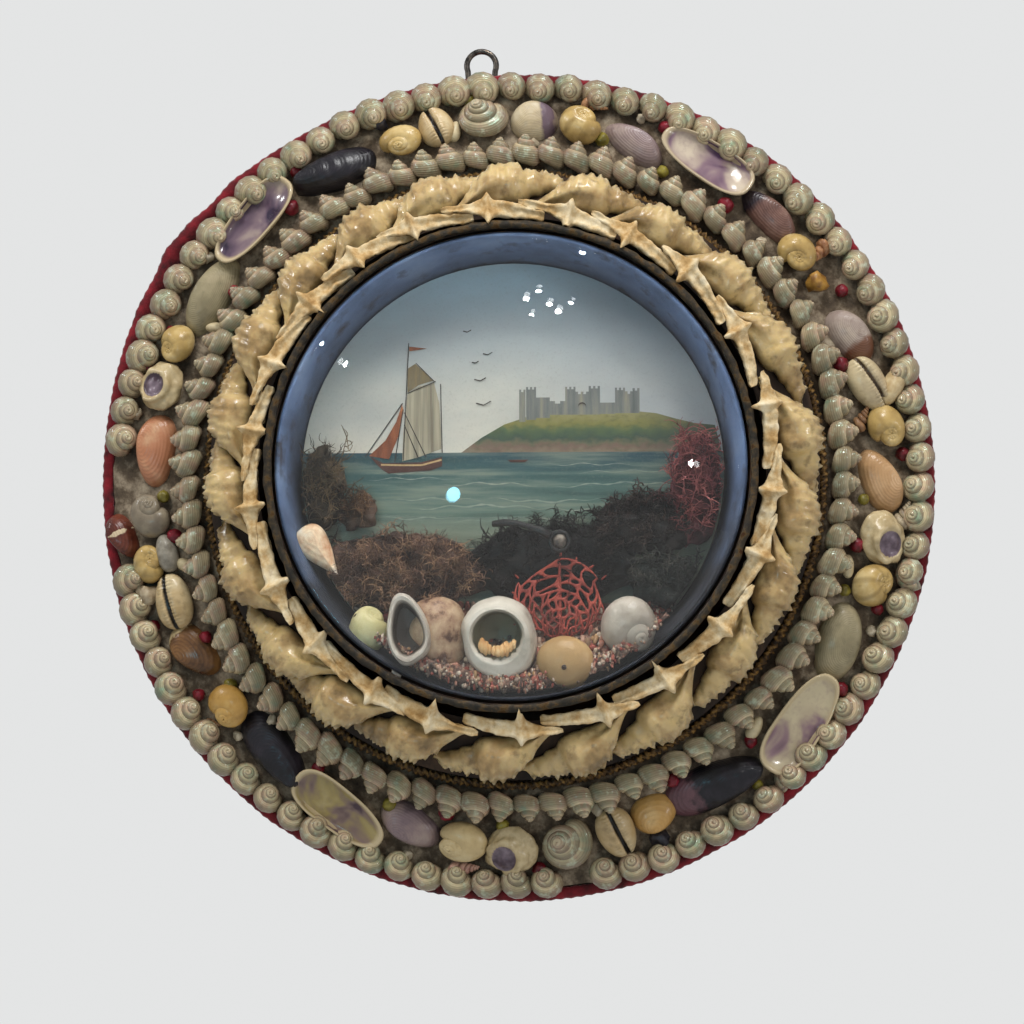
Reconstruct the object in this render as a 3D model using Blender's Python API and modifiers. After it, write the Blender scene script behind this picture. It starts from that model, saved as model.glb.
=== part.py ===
"""A round shell-work picture: a board set with shells round a domed glass over a small seaside scene.

Metres, +Z up. The back of the board lies on the plane Y = 0 and the glass faces -Y.
"""

import math

import bmesh
import bpy
from mathutils import Matrix, Vector

# Clearance between pieces that are glued or rest on each other
GAP = 0.0003

# Pasteboard box that holds the scene, from which the rest follows outward
BOX_RADIUS = 0.076
BOX_WALL = 0.003
BOX_DEPTH = 0.0405
BOX_FLOOR_BACK = 0.0177
BOX_FLOOR_THICKNESS = 0.0025

# Drum round the box
TROUGH_WIDTH = 0.004
DRUM_WIDTH = 0.0185
DRUM_OUTER_HEIGHT = 0.020
DRUM_INNER_HEIGHT = 0.0345

# Plaster bed, thicker toward the drum
BED_WIDTH = 0.0356
BED_EDGE_THICKNESS = 0.0022
BED_DRUM_THICKNESS = 0.0107

# Board and its cloth edge
BOARD_THICKNESS = 0.009
CLOTH_THICKNESS = 0.002
CLOTH_LIP = 0.0036
CLOTH_STAND = 0.0025
CLOTH_ROUND = 0.0009

# Card, lining, glass and the paper edge round the glass
CARD_THICKNESS = 0.0012
LINING_THICKNESS = 0.001
LINING_FLARE = 0.0041
GLASS_INSET = 0.0015
GLASS_WALL = 0.002
GLASS_RISE = 0.025
BEZEL_WIDTH = 0.0023
BEZEL_HEIGHT = 0.0014

# Wire hanger
WIRE_DIAMETER = 0.0013
LOOP_WIDTH = 0.0098
LOOP_HEIGHT = 0.0091
LOOP_X = -0.0117
LOOP_DEPTH = 0.005
LEG_DEPTH = 0.007

# Rows of small top shells
OUTER_ROW_INSET = 0.0073
OUTER_ROW_PITCH = 0.00958
OUTER_ROW_START = math.radians(273.6)
OUTER_ROW_SPAN = math.radians(343.6)
INNER_ROW_OFFSET = 0.0078
INNER_ROW_PITCH = 0.00837
TOP_SHELL_WIDTH = 0.0096
TOP_SHELL_HEIGHT = 0.0098
TOP_SHELL_NECK = 0.52
TOP_SHELL_FOOT = 0.72
TOP_SHELL_SHOULDER = 0.42
TOP_SHELL_LEAN = 0.35
TOP_SHELL_SKEW = 0.1

# Spiny shells on the drum
SPINY_PITCH = 0.0258
SPINY_START = math.radians(3)
SPINY_CREST = 0.0105
SPINY_CANAL = 0.0035
SPINY_REACH = 0.0018
SPINY_FOOT_INSET = 0.0015
SPINY_BACK_INSET = 0.0040
SPINY_BACK_SHARE = 0.55
SPINY_CREST_INSET = 0.0075
SPINY_VALLEY_OFFSET = 0.0055
SPINY_VALLEY_RISE = 0.0014
SPINY_BAR_WIDTH = 0.0014
SPINY_BAR_RISE = 0.0030
SPINY_KNOB_RISE = 0.0024
SPINY_TIP_SHARE = 0.8
SPINY_TIP_KNOB_SHARE = 0.6
SPINY_SEAT = 0.0005
# Canal, shoulder, belly and spire of one shell: place along it, swell of its back, knob of its cut edge
SPINY_PHASES = ((0.0, 0.12, 0.1), (0.3, 0.75, 0.25), (0.6, 1.0, 1.0), (0.88, 0.45, 0.2))

ROUND_STEPS = 48
BOX_STEPS = 36
SHELL_SIDES = 8
WEED_STEPS = 7
CORAL_BRANCHES = 5

# Depths from the wall and radii that follow from the sizes above
BOARD_FRONT = BOARD_THICKNESS
BED_BACK = BOARD_FRONT + GAP
DRUM_INNER = BOX_RADIUS + TROUGH_WIDTH
DRUM_OUTER = DRUM_INNER + DRUM_WIDTH
DRUM_EDGE = BED_BACK + DRUM_OUTER_HEIGHT
DRUM_CREST = BED_BACK + DRUM_INNER_HEIGHT
BED_INNER = DRUM_OUTER + GAP
BED_OUTER = BED_INNER + BED_WIDTH
CLOTH_INNER = BED_OUTER + GAP
CLOTH_RADIUS = CLOTH_INNER + CLOTH_LIP
CLOTH_FRONT = BOARD_FRONT + CLOTH_STAND
BOARD_RADIUS = CLOTH_RADIUS - CLOTH_THICKNESS - GAP
BOX_FRONT = BED_BACK + BOX_DEPTH
FLOOR_FRONT = BED_BACK + BOX_FLOOR_BACK + BOX_FLOOR_THICKNESS
CARD_BACK = FLOOR_FRONT + GAP
CARD_FRONT = CARD_BACK + CARD_THICKNESS
LINING_FRONT = BOX_FRONT - GAP
LINING_MOUTH = BOX_RADIUS - BOX_WALL - GAP - LINING_THICKNESS
LINING_FOOT = LINING_MOUTH - LINING_FLARE
CARD_RADIUS = LINING_FOOT - GAP
GLASS_RADIUS = BOX_RADIUS - GLASS_INSET
GLASS_BACK = BOX_FRONT + GAP
BEZEL_INNER = GLASS_RADIUS + GAP
BEZEL_OUTER = BEZEL_INNER + BEZEL_WIDTH
OUTER_ROW = CLOTH_RADIUS - OUTER_ROW_INSET
INNER_ROW = BED_INNER + INNER_ROW_OFFSET
OUTER_ROW_COUNT = round(OUTER_ROW_SPAN * OUTER_ROW / OUTER_ROW_PITCH)
INNER_ROW_COUNT = round(2 * math.pi * INNER_ROW / INNER_ROW_PITCH)
SPINY_COUNT = round(2 * math.pi * (DRUM_INNER + DRUM_OUTER) / 2 / SPINY_PITCH)
BED_SLOPE = (BED_DRUM_THICKNESS - BED_EDGE_THICKNESS) / (BED_OUTER - BED_INNER)
DRUM_SLOPE = (DRUM_CREST - DRUM_EDGE) / DRUM_WIDTH

# Rings of each kind of shell: height, length and width as shares of the shell's own, and shift along it
SNAIL = ((0.0, 0.78, 0.78, 0.0), (0.35, 1.0, 1.0, 0.0), (0.78, 0.55, 0.62, -0.16), (1.0, 0.16, 0.2, -0.3))
COWRIE = ((0.0, 0.8, 0.72, 0.0), (0.32, 1.0, 1.0, 0.0), (0.8, 0.66, 0.62, 0.0), (1.0, 0.24, 0.2, 0.0))
VALVE = ((0.0, 1.0, 1.0, 0.0), (0.55, 0.84, 0.78, -0.03), (1.0, 0.34, 0.26, -0.1))
DISH = (
    (0.0, 0.4, 0.34, 0.0),
    (0.6, 0.86, 0.84, 0.0),
    (1.0, 1.0, 1.0, 0.0),
    (0.98, 0.93, 0.86, 0.0),
    (0.5, 0.6, 0.5, 0.0),
)

# Each kind: rings, length as a share of the band's pitch, width and height as shares of the room between
# the rows, and taper toward the end that points counter-clockwise
KINDS = {
    "periwinkle": (SNAIL, 0.652, 0.757, 0.595, 0.0),
    "snail": (SNAIL, 0.738, 0.824, 0.581, 0.1),
    "pearl": (SNAIL, 0.804, 0.986, 0.777, 0.0),
    "cowrie": (COWRIE, 0.840, 0.892, 0.622, 0.08),
    "cowrie_face": (COWRIE, 0.927, 0.824, 0.514, 0.12),
    "clam": (VALVE, 0.967, 0.845, 0.459, 0.2),
    "bean": (VALVE, 1.095, 0.676, 0.392, 0.12),
    "tellin": (VALVE, 1.145, 0.845, 0.473, 0.16),
    "valve": (VALVE, 1.349, 0.892, 0.459, 0.1),
    "mussel": (VALVE, 1.502, 0.892, 0.527, 0.3),
    "wedge": (DISH, 1.629, 0.865, 0.446, -0.22),
}
# A kind that lies across the band: its length follows the room and its width the pitch
CROSS_KINDS = {"cowrie_cross": (COWRIE, 0.984, 0.497, 0.411, 0.12)}

# Each shell of the band: kind, clock angle, turn, size against its kind, step out as a share of the room
BAND = {
    "clam_purple_patch": ("clam", 3.2, 8, 0.80, 0.08),
    "yellow_periwinkle_n": ("periwinkle", 10.7, -10, 1.0, -0.05),
    "purple_bean_n": ("bean", 19.6, -18, 1.0, -0.03),
    "open_wedge_ne": ("wedge", 31.6, -3, 1.0, 0.07),
    "brown_mussel_ne": ("bean", 44.2, -4, 1.02, 0.12),
    "yellow_periwinkle_ne": ("periwinkle", 51.8, 0, 1.0, -0.1),
    "brown_clam_ne": ("clam", 67.2, 16, 0.98, 0.03),
    "toothed_cowrie_e": ("cowrie_face", 75.6, 14, 0.98, -0.05),
    "yellow_periwinkle_e": ("periwinkle", 82.6, 0, 0.98, 0.13),
    "orange_tellin_e": ("tellin", 91.0, 24, 0.92, -0.01),
    "cream_cowrie_e": ("cowrie", 99.8, 20, 0.96, 0.05),
    "yellow_periwinkle_se": ("periwinkle", 107.4, 0, 1.0, 0.05),
    "grey_valve_se": ("valve", 117.4, 12, 0.96, -0.04),
    "open_wedge_se": ("wedge", 131.4, 6, 1.04, 0.03),
    "black_mussel_se": ("mussel", 147.0, -8, 1.06, -0.04),
    "cream_bean_s": ("periwinkle", 157.6, 0, 1.08, -0.11),
    "slit_cowrie_s": ("cowrie_cross", 164.2, 97, 1.0, 0.0),
    "pearly_top_s": ("pearl", 171.8, 0, 0.96, 0.0),
    "purple_cowrie_s": ("cowrie", 180.3, 0, 0.94, 0.06),
    "cream_snail_s": ("snail", 187.8, 0, 1.0, -0.05),
    "purple_valve_sw": ("bean", 196.5, -16, 0.98, -0.06),
    "open_wedge_sw": ("wedge", 207.7, -8, 0.94, 0.03),
    "black_mussel_sw": ("mussel", 221.0, -8, 0.93, -0.03),
    "orange_snail_sw": ("snail", 231.0, 0, 0.96, -0.09),
    "amber_clam_w": ("clam", 241.3, 14, 1.0, 0.0),
    "slit_cowrie_w": ("cowrie_face", 249.9, -8, 0.96, -0.07),
    "yellow_periwinkle_w": ("periwinkle", 256.6, 0, 0.8, 0.24),
    "brown_tellin_w": ("tellin", 261.8, 16, 0.66, 0.82),
    "banded_snail_w": ("snail", 263.9, 0, 0.92, 0.03),
    "orange_tellin_w": ("tellin", 274.5, 0, 1.04, 0.02),
    "purple_cowrie_w": ("cowrie", 284.6, 0, 1.0, 0.04),
    "yellow_periwinkle_nw": ("periwinkle", 291.8, 0, 0.96, 0.02),
    "grey_valve_nw": ("valve", 301.2, 4, 1.0, -0.04),
    "open_wedge_nw": ("wedge", 314.9, 6, 0.98, 0.06),
    "black_mussel_nw": ("mussel", 329.6, -6, 0.92, 0.0),
    "yellow_snail_n": ("snail", 341.4, 0, 0.90, -0.09),
    "slit_cowrie_n": ("cowrie_cross", 347.6, 100, 0.925, 0.07),
    "pearly_top_n": ("pearl", 355.2, 0, 0.94, 0.02),
}
BAND_MIDDLE = (OUTER_ROW + INNER_ROW) / 2
BAND_ROOM = OUTER_ROW - INNER_ROW - TOP_SHELL_WIDTH
BAND_PITCH = 2 * math.pi * BAND_MIDDLE / len(BAND)

# Bank of sand at the foot of the card, which stops short of the glass
BED_TOP = -0.62 * CARD_RADIUS
BED_SET_BACK = 0.0023
BED_RISE = BOX_FRONT - CARD_FRONT - BED_SET_BACK

# Shells on the sea bed: rings, length, width, height, place across and up, all as shares of the card's
# radius, and turn
BED_SHELLS = {
    "inner_yellow_shell": (SNAIL, 0.186, 0.178, 0.134, -0.600, -0.700, 20),
    "inner_whelk": (COWRIE, 0.334, 0.267, 0.163, -0.370, -0.775, 74),
    "moon_shell": (SNAIL, 0.386, 0.342, 0.186, -0.040, -0.835, 90),
    "egg_shell": (COWRIE, 0.238, 0.223, 0.163, 0.260, -0.910, 0),
    "inner_turban": (SNAIL, 0.245, 0.245, 0.149, 0.555, -0.760, 45),
}

# Coral and seaweed, as shares of the card's radius, but for their depths
CORAL_PLACE = (0.245, -0.690)
CORAL_HEIGHT = 0.334 * CARD_RADIUS
CORAL_BRANCH = 0.0505 * CARD_RADIUS
CORAL_BRANCH_TIP = 0.6
CORAL_SPREAD = math.radians(104)
CORAL_FOOT = 0.0595 * CARD_RADIUS
CORAL_FOOT_WIDTH = 0.104 * CARD_RADIUS
CORAL_THICKNESS = 0.0016
WEED_DEPTH = 0.008
WEED_BACK_SHARE = 0.12
WEED_FOOT_SHARE = 0.3
WEED_SHOULDER = 0.7
WEED_LOW = 0.416 * CARD_RADIUS
WEED_HIGH = 0.743 * CARD_RADIUS
WEED_LUMP = 0.0595 * CARD_RADIUS
WEED_INNER = 0.05
WEED_OUTER = 0.86


def clear_scene():
    for thing in list(bpy.data.objects):
        bpy.data.objects.remove(thing)


def new_collection(name):
    collection = bpy.data.collections.new(name)
    bpy.context.scene.collection.children.link(collection)
    return collection


def new_material(name, colour, roughness, metallic=0.0):
    material = bpy.data.materials.new(name)
    material.use_nodes = True
    shader = material.node_tree.nodes["Principled BSDF"]
    shader.inputs["Base Color"].default_value = (*colour, 1.0)
    shader.inputs["Roughness"].default_value = roughness
    shader.inputs["Metallic"].default_value = metallic
    return material


def add_mesh(name, form, material, matrix=None):
    """An object in the model's collection from a bmesh, with outward faces."""
    bmesh.ops.recalc_face_normals(form, faces=form.faces)
    mesh = bpy.data.meshes.new(name)
    form.to_mesh(mesh)
    form.free()
    mesh.materials.append(material)
    thing = bpy.data.objects.new(name, mesh)
    if matrix is not None:
        thing.matrix_world = matrix
    model.objects.link(thing)
    return thing


def add_turned(name, profile, steps, material):
    """A profile of (radius, depth) points turned about the picture's axis."""
    closed = profile[0][0] > 0
    mesh = bpy.data.meshes.new(name)
    points = [(radius, 0.0, depth) for radius, depth in profile]
    edges = [(i, i + 1) for i in range(len(points) - 1)]
    if closed:
        edges.append((len(points) - 1, 0))
    mesh.from_pydata(points, edges, [])
    mesh.materials.append(material)
    thing = bpy.data.objects.new(name, mesh)
    thing.rotation_euler = (math.pi / 2, 0.0, 0.0)
    model.objects.link(thing)
    screw = thing.modifiers.new("turn", "SCREW")
    screw.steps = steps
    screw.render_steps = steps
    screw.use_merge_vertices = True
    screw.merge_threshold = 0.00005
    screw.use_smooth_shade = True
    return thing


def clock_frame(clock, radius, depth, lean=0.0, turn=0.0):
    """Local x runs clockwise, y outward and z toward the viewer, at a clock angle on the picture."""
    place = Matrix.Translation((radius * math.sin(clock), -depth, radius * math.cos(clock)))
    facing = Matrix.Rotation(clock, 4, "Y") @ Matrix.Rotation(math.pi / 2 - lean, 4, "X")
    return place @ facing @ Matrix.Rotation(turn, 4, "Z")


def ringed(rings, length, width, height, taper=0.0, sides=SHELL_SIDES):
    """A closed form whose rings climb local z, each a share of the length and width."""
    form = bmesh.new()
    loops = []
    for index, (up, long_share, wide_share, shift) in enumerate(rings):
        capped = index in (0, len(rings) - 1)
        made = bmesh.ops.create_circle(form, cap_ends=capped, segments=sides, radius=0.5)["verts"]
        for vert in made:
            along = vert.co.x * long_share + shift * 0.5
            across = vert.co.y * wide_share * (1 + 2 * taper * along)
            vert.co = Vector((along * length, across * width, up * height))
        loops.append({edge for vert in made for edge in vert.link_edges})
    for lower, upper in zip(loops, loops[1:]):
        bmesh.ops.bridge_loops(form, edges=list(lower | upper))
    return form


def lofted(sections, closed):
    """Faces between sections of the same number of points, which run on round or end in caps."""
    form = bmesh.new()
    rings = [[form.verts.new(point) for point in section] for section in sections]
    pairs = list(zip(rings, rings[1:]))
    if closed:
        pairs.append((rings[-1], rings[0]))
    else:
        form.faces.new(rings[0])
        form.faces.new(rings[-1])
    for one, other in pairs:
        for i in range(len(one)):
            j = (i + 1) % len(one)
            form.faces.new((one[i], one[j], other[j], other[i]))
    return form


def on_clock(clock, radius, depth):
    return Vector((radius * math.sin(clock), -depth, radius * math.cos(clock)))


def bed_front(radius):
    return BED_BACK + BED_EDGE_THICKNESS + (BED_OUTER - radius) * BED_SLOPE


def drum_front(radius):
    return DRUM_EDGE + (DRUM_OUTER - radius) * DRUM_SLOPE


def add_board(material):
    profile = ((0.0, BOARD_FRONT), (BOARD_RADIUS, BOARD_FRONT), (BOARD_RADIUS, 0.0), (0.0, 0.0))
    return add_turned("base_board", profile, ROUND_STEPS, material)


def add_cloth_edge(material):
    inside = BOARD_RADIUS + GAP
    profile = (
        (CLOTH_RADIUS - CLOTH_ROUND, CLOTH_FRONT),
        (CLOTH_RADIUS, CLOTH_FRONT - CLOTH_ROUND),
        (CLOTH_RADIUS, GAP),
        (inside, GAP),
        (inside, BOARD_FRONT + GAP),
        (CLOTH_INNER, BOARD_FRONT + GAP),
        (CLOTH_INNER, CLOTH_FRONT),
    )
    return add_turned("velvet_rim", profile, ROUND_STEPS, material)


def add_bed(material):
    profile = (
        (BED_OUTER, BED_BACK + BED_EDGE_THICKNESS),
        (BED_OUTER, BED_BACK),
        (BED_INNER, BED_BACK),
        (BED_INNER, BED_BACK + BED_DRUM_THICKNESS),
    )
    return add_turned("plaster_bed", profile, ROUND_STEPS, material)


def add_drum(material):
    profile = (
        (DRUM_OUTER, DRUM_EDGE),
        (DRUM_OUTER, BED_BACK),
        (DRUM_INNER, BED_BACK),
        (DRUM_INNER, DRUM_CREST),
    )
    return add_turned("drum", profile, ROUND_STEPS, material)


def add_box(material):
    inside = BOX_RADIUS - BOX_WALL
    floor_back = BED_BACK + BOX_FLOOR_BACK
    profile = (
        (0.0, FLOOR_FRONT),
        (inside, FLOOR_FRONT),
        (inside, BOX_FRONT),
        (BOX_RADIUS, BOX_FRONT),
        (BOX_RADIUS, BED_BACK),
        (inside, BED_BACK),
        (inside, floor_back),
        (0.0, floor_back),
    )
    return add_turned("scene_box", profile, BOX_STEPS, material)


def add_card(material):
    profile = ((0.0, CARD_FRONT), (CARD_RADIUS, CARD_FRONT), (CARD_RADIUS, CARD_BACK), (0.0, CARD_BACK))
    return add_turned("painted_card", profile, BOX_STEPS, material)


def add_lining(material):
    profile = (
        (LINING_MOUTH + LINING_THICKNESS, LINING_FRONT),
        (LINING_FOOT + LINING_THICKNESS, CARD_BACK),
        (LINING_FOOT, CARD_BACK),
        (LINING_MOUTH, LINING_FRONT),
    )
    return add_turned("blue_lining", profile, BOX_STEPS, material)


def cap_points(base, rise, depth, rings):
    """Points on a spherical cap from its crown to its foot."""
    ball = (base * base + rise * rise) / (2 * rise)
    reach = math.asin(base / ball)
    points = []
    for i in range(rings + 1):
        angle = reach * i / rings
        points.append((ball * math.sin(angle), depth + rise - ball * (1 - math.cos(angle))))
    return points


def add_glass(material):
    outside = cap_points(GLASS_RADIUS, GLASS_RISE, GLASS_BACK, 4)
    inside = cap_points(GLASS_RADIUS - GLASS_WALL, GLASS_RISE - GLASS_WALL, GLASS_BACK, 3)
    return add_turned("glass_dome", outside + inside[::-1], BOX_STEPS, material)


def add_bezel(material):
    profile = (
        (BEZEL_OUTER, GLASS_BACK + BEZEL_HEIGHT),
        (BEZEL_OUTER, GLASS_BACK),
        (BEZEL_INNER, GLASS_BACK),
        (BEZEL_INNER, GLASS_BACK + BEZEL_HEIGHT),
    )
    return add_turned("gilt_bezel", profile, BOX_STEPS, material)


def top_shell_section(clock, row, share, lean):
    """A slice through one top shell, or through the neck where it touches the next."""
    wide = TOP_SHELL_WIDTH / 2 * share
    tall = TOP_SHELL_HEIGHT * share
    outline = (
        (-TOP_SHELL_FOOT * wide, 0.0),
        (TOP_SHELL_FOOT * wide, 0.0),
        (wide * (1.0 - TOP_SHELL_SKEW * lean), TOP_SHELL_SHOULDER * tall),
        (lean * TOP_SHELL_LEAN * wide, tall),
        (-wide * (1.0 + TOP_SHELL_SKEW * lean), TOP_SHELL_SHOULDER * tall),
    )
    points = []
    for across, up in outline:
        radius = row + across
        points.append(on_clock(clock, radius, bed_front(radius) + GAP + up))
    return points


def add_row(name, row, count, start, span, lean, closed, material):
    """One row of top shells, each widest at its own middle and narrow where it meets its neighbour."""
    sections = []
    for i in range(2 * count + (0 if closed else 1)):
        clock = start + span * i / (2 * count)
        share = 1.0 if i % 2 else TOP_SHELL_NECK
        sections.append(top_shell_section(clock, row, share, lean))
    return add_mesh(name, lofted(sections, closed), material)


def spiny_section(clock, belly, knob):
    """A slice across a spiny shell on the drum: its back, its crest and the cut edge that overhangs the box."""
    foot = DRUM_OUTER - SPINY_FOOT_INSET
    back = DRUM_OUTER - SPINY_BACK_INSET + belly * (SPINY_BACK_INSET + SPINY_REACH)
    crest = DRUM_OUTER - SPINY_CREST_INSET
    valley = DRUM_INNER + SPINY_VALLEY_OFFSET
    bar = DRUM_INNER + 2 * GAP
    tip = DRUM_INNER - knob * (DRUM_INNER - BEZEL_OUTER - GAP)
    tip_rise = SPINY_TIP_SHARE * SPINY_BAR_RISE + SPINY_TIP_KNOB_SHARE * knob * SPINY_KNOB_RISE
    return (
        on_clock(clock, foot, drum_front(foot) + SPINY_SEAT),
        on_clock(clock, back, drum_front(foot) + (SPINY_BACK_SHARE + belly) * SPINY_CANAL),
        on_clock(clock, crest, drum_front(crest) + SPINY_CANAL + belly * (SPINY_CREST - SPINY_CANAL)),
        on_clock(clock, valley, drum_front(valley) + (1 + belly) * SPINY_VALLEY_RISE),
        on_clock(clock, bar + SPINY_BAR_WIDTH, DRUM_CREST + SPINY_BAR_RISE + knob * SPINY_KNOB_RISE),
        on_clock(clock, tip, DRUM_CREST + tip_rise),
        on_clock(clock, bar, DRUM_CREST + SPINY_SEAT),
    )


def add_spiny_ring(material):
    """Spiny shells laid end to end: canal, shoulder, belly and spire of each, then the canal of the next."""
    sections = []
    for i in range(SPINY_COUNT):
        for share, belly, knob in SPINY_PHASES:
            clock = SPINY_START + 2 * math.pi * (i + share) / SPINY_COUNT
            sections.append(spiny_section(clock, belly, knob))
    return add_mesh("spiny_shell_ring", lofted(sections, True), material)


def add_band_shell(name, materials):
    kind, clock, turn, size, outward = BAND[name]
    if kind in CROSS_KINDS:
        rings, length, width, height, taper = CROSS_KINDS[kind]
        form = ringed(rings, length * size * BAND_ROOM, width * size * BAND_PITCH, height * size * BAND_ROOM, taper)
    else:
        rings, length, width, height, taper = KINDS[kind]
        form = ringed(rings, length * size * BAND_PITCH, width * size * BAND_ROOM, height * size * BAND_ROOM, taper)
    radius = BAND_MIDDLE + outward * BAND_ROOM
    seat = bed_front(radius) + GAP / math.cos(math.atan(BED_SLOPE))
    matrix = clock_frame(math.radians(clock), radius, seat, math.atan(BED_SLOPE), math.radians(turn))
    return add_mesh(name, form, materials[name.split("_")[0]], matrix)


def add_sea_bed(material):
    """The bank of sand at the foot of the card, cut from a disc by a plane that falls toward the glass."""
    form = bmesh.new()
    bmesh.ops.create_cone(
        form,
        cap_ends=True,
        segments=BOX_STEPS,
        radius1=CARD_RADIUS - GAP,
        radius2=CARD_RADIUS - GAP,
        depth=BED_RISE,
    )
    middle = CARD_FRONT + GAP + BED_RISE / 2
    bmesh.ops.transform(form, matrix=clock_frame(0.0, 0.0, middle), verts=form.verts)
    normal = bed_normal()
    cut = bmesh.ops.bisect_plane(
        form,
        geom=list(form.verts) + list(form.edges) + list(form.faces),
        plane_co=(0.0, -CARD_FRONT, BED_TOP),
        plane_no=normal,
        clear_outer=True,
    )
    rim = [part for part in cut["geom_cut"] if isinstance(part, bmesh.types.BMEdge)]
    bmesh.ops.contextual_create(form, geom=rim)
    return add_mesh("sea_bed", form, material)


def bed_normal():
    """Square to the bank, which falls by its rise between its top and the card's lower edge."""
    fall = CARD_RADIUS + BED_TOP
    return Vector((0.0, -fall, BED_RISE)).normalized()


def bed_frame(across, up, turn=0.0):
    """Local z stands square on the bank, at a place across and up the picture."""
    normal = bed_normal()
    depth = CARD_FRONT + (BED_TOP - up) * BED_RISE / (CARD_RADIUS + BED_TOP)
    side = Vector((1.0, 0.0, 0.0))
    facing = Matrix((side, normal.cross(side), normal)).transposed().to_4x4()
    place = Matrix.Translation(Vector((across, -depth, up)) + normal * GAP)
    return place @ facing @ Matrix.Rotation(turn, 4, "Z")


def add_bed_shell(name, material):
    rings, *sizes, turn = BED_SHELLS[name]
    length, width, height, across, up = (share * CARD_RADIUS for share in sizes)
    form = ringed(rings, length, width, height)
    return add_mesh(name, form, material, bed_frame(across, up, math.radians(turn)))


def add_coral(material):
    """A flat fan of coral: a foot, with branches that spread and thin toward their ends."""
    branches = []
    rings = ((0.0, 1.0, 1.0, 0.0), (1.0, CORAL_BRANCH_TIP, CORAL_BRANCH_TIP, 0.0))
    for i in range(CORAL_BRANCHES):
        spread = CORAL_SPREAD * (i / (CORAL_BRANCHES - 1) - 0.5)
        form = ringed(rings, CORAL_BRANCH, CORAL_THICKNESS, CORAL_HEIGHT, sides=4)
        tilt = Matrix.Rotation(spread, 4, "Y")
        bmesh.ops.transform(form, matrix=tilt, verts=form.verts)
        branches.append(form)
    foot = bmesh.new()
    bmesh.ops.create_cube(foot, size=1.0)
    bmesh.ops.scale(foot, vec=(CORAL_FOOT_WIDTH, CORAL_THICKNESS * 1.5, CORAL_FOOT), verts=foot.verts)
    across, up = (share * CARD_RADIUS for share in CORAL_PLACE)
    seat = bed_frame(across, up - CORAL_FOOT / 2).translation
    base = Matrix.Translation((across, seat.y - CORAL_THICKNESS, up))
    fan = add_mesh("coral_fan", foot, material, base)
    for i, form in enumerate(branches):
        bmesh.ops.recalc_face_normals(form, faces=form.faces)
        mesh = bpy.data.meshes.new(f"coral_branch_{i}")
        form.to_mesh(mesh)
        form.free()
        branch = bpy.data.objects.new(f"coral_branch_{i}", mesh)
        branch.matrix_world = base
        branch.hide_render = True
        branch.display_type = "WIRE"
        helpers.objects.link(branch)
        union = fan.modifiers.new(f"branch_{i}", "BOOLEAN")
        union.operation = "UNION"
        union.object = branch
    return fan


def add_weed(name, side, material):
    """A bank of seaweed against the card on one side, low by the middle and high toward the edge."""
    sections = []
    back = CARD_FRONT + GAP
    reach = CARD_RADIUS - 2 * GAP
    for i in range(WEED_STEPS + 1):
        share = WEED_INNER + (WEED_OUTER - WEED_INNER) * i / WEED_STEPS
        across = side * share * reach
        lump = 0.5 + 0.5 * math.sin(2.6 * i + side)
        foot = max(BED_TOP + 4 * GAP, -math.sqrt(reach * reach - across * across))
        top = BED_TOP + WEED_LOW + (WEED_HIGH - WEED_LOW) * share**2 + WEED_LUMP * lump
        deep = WEED_DEPTH * (0.6 + 0.3 * lump)
        sections.append(
            (
                Vector((across, -back, foot)),
                Vector((across, -back - WEED_BACK_SHARE * deep, top)),
                Vector((across, -back - deep, foot + WEED_SHOULDER * (top - foot))),
                Vector((across, -back - WEED_FOOT_SHARE * deep, foot)),
            )
        )
    return add_mesh(name, lofted(sections, False), material)


def add_hanger(material):
    """A wire arch whose two legs go down through the cloth into the board's top edge."""
    half = LOOP_WIDTH / 2
    shoulder = CLOTH_RADIUS + LOOP_HEIGHT - WIRE_DIAMETER / 2 - half
    foot = BOARD_RADIUS - LEG_DEPTH
    points = [(-half, foot)]
    turns = 10
    for i in range(turns + 1):
        angle = math.pi * (1 - i / turns)
        points.append((half * math.cos(angle), shoulder + half * math.sin(angle)))
    points.append((half, foot))
    curve = bpy.data.curves.new("hanging_loop", "CURVE")
    curve.dimensions = "3D"
    curve.bevel_depth = WIRE_DIAMETER / 2
    curve.bevel_resolution = 2
    curve.use_fill_caps = True
    spline = curve.splines.new("POLY")
    spline.points.add(len(points) - 1)
    for point, (across, up) in zip(spline.points, points):
        point.co = (LOOP_X + across, -LOOP_DEPTH, up, 1.0)
    curve.materials.append(material)
    loop = bpy.data.objects.new("hanging_loop", curve)
    model.objects.link(loop)
    return loop


def drill_legs(board, cloth):
    """Holes for the hanger's legs, a clearance wider and deeper than the wire."""
    top = CLOTH_RADIUS + LOOP_HEIGHT / 2
    bottom = BOARD_RADIUS - LEG_DEPTH - GAP
    for side in (-1, 1):
        form = bmesh.new()
        wide = WIRE_DIAMETER / 2 + GAP
        bmesh.ops.create_cone(form, cap_ends=True, segments=8, radius1=wide, radius2=wide, depth=top - bottom)
        mesh = bpy.data.meshes.new("leg_hole")
        form.to_mesh(mesh)
        form.free()
        hole = bpy.data.objects.new(f"leg_hole_{side}", mesh)
        hole.location = (LOOP_X + side * LOOP_WIDTH / 2, -LOOP_DEPTH, (top + bottom) / 2)
        hole.hide_render = True
        hole.display_type = "WIRE"
        helpers.objects.link(hole)
        for pierced in (board, cloth):
            cut = pierced.modifiers.new(f"leg_hole_{side}", "BOOLEAN")
            cut.operation = "DIFFERENCE"
            cut.object = hole


clear_scene()
model = new_collection("shell_picture")
helpers = new_collection("helpers")

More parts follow.
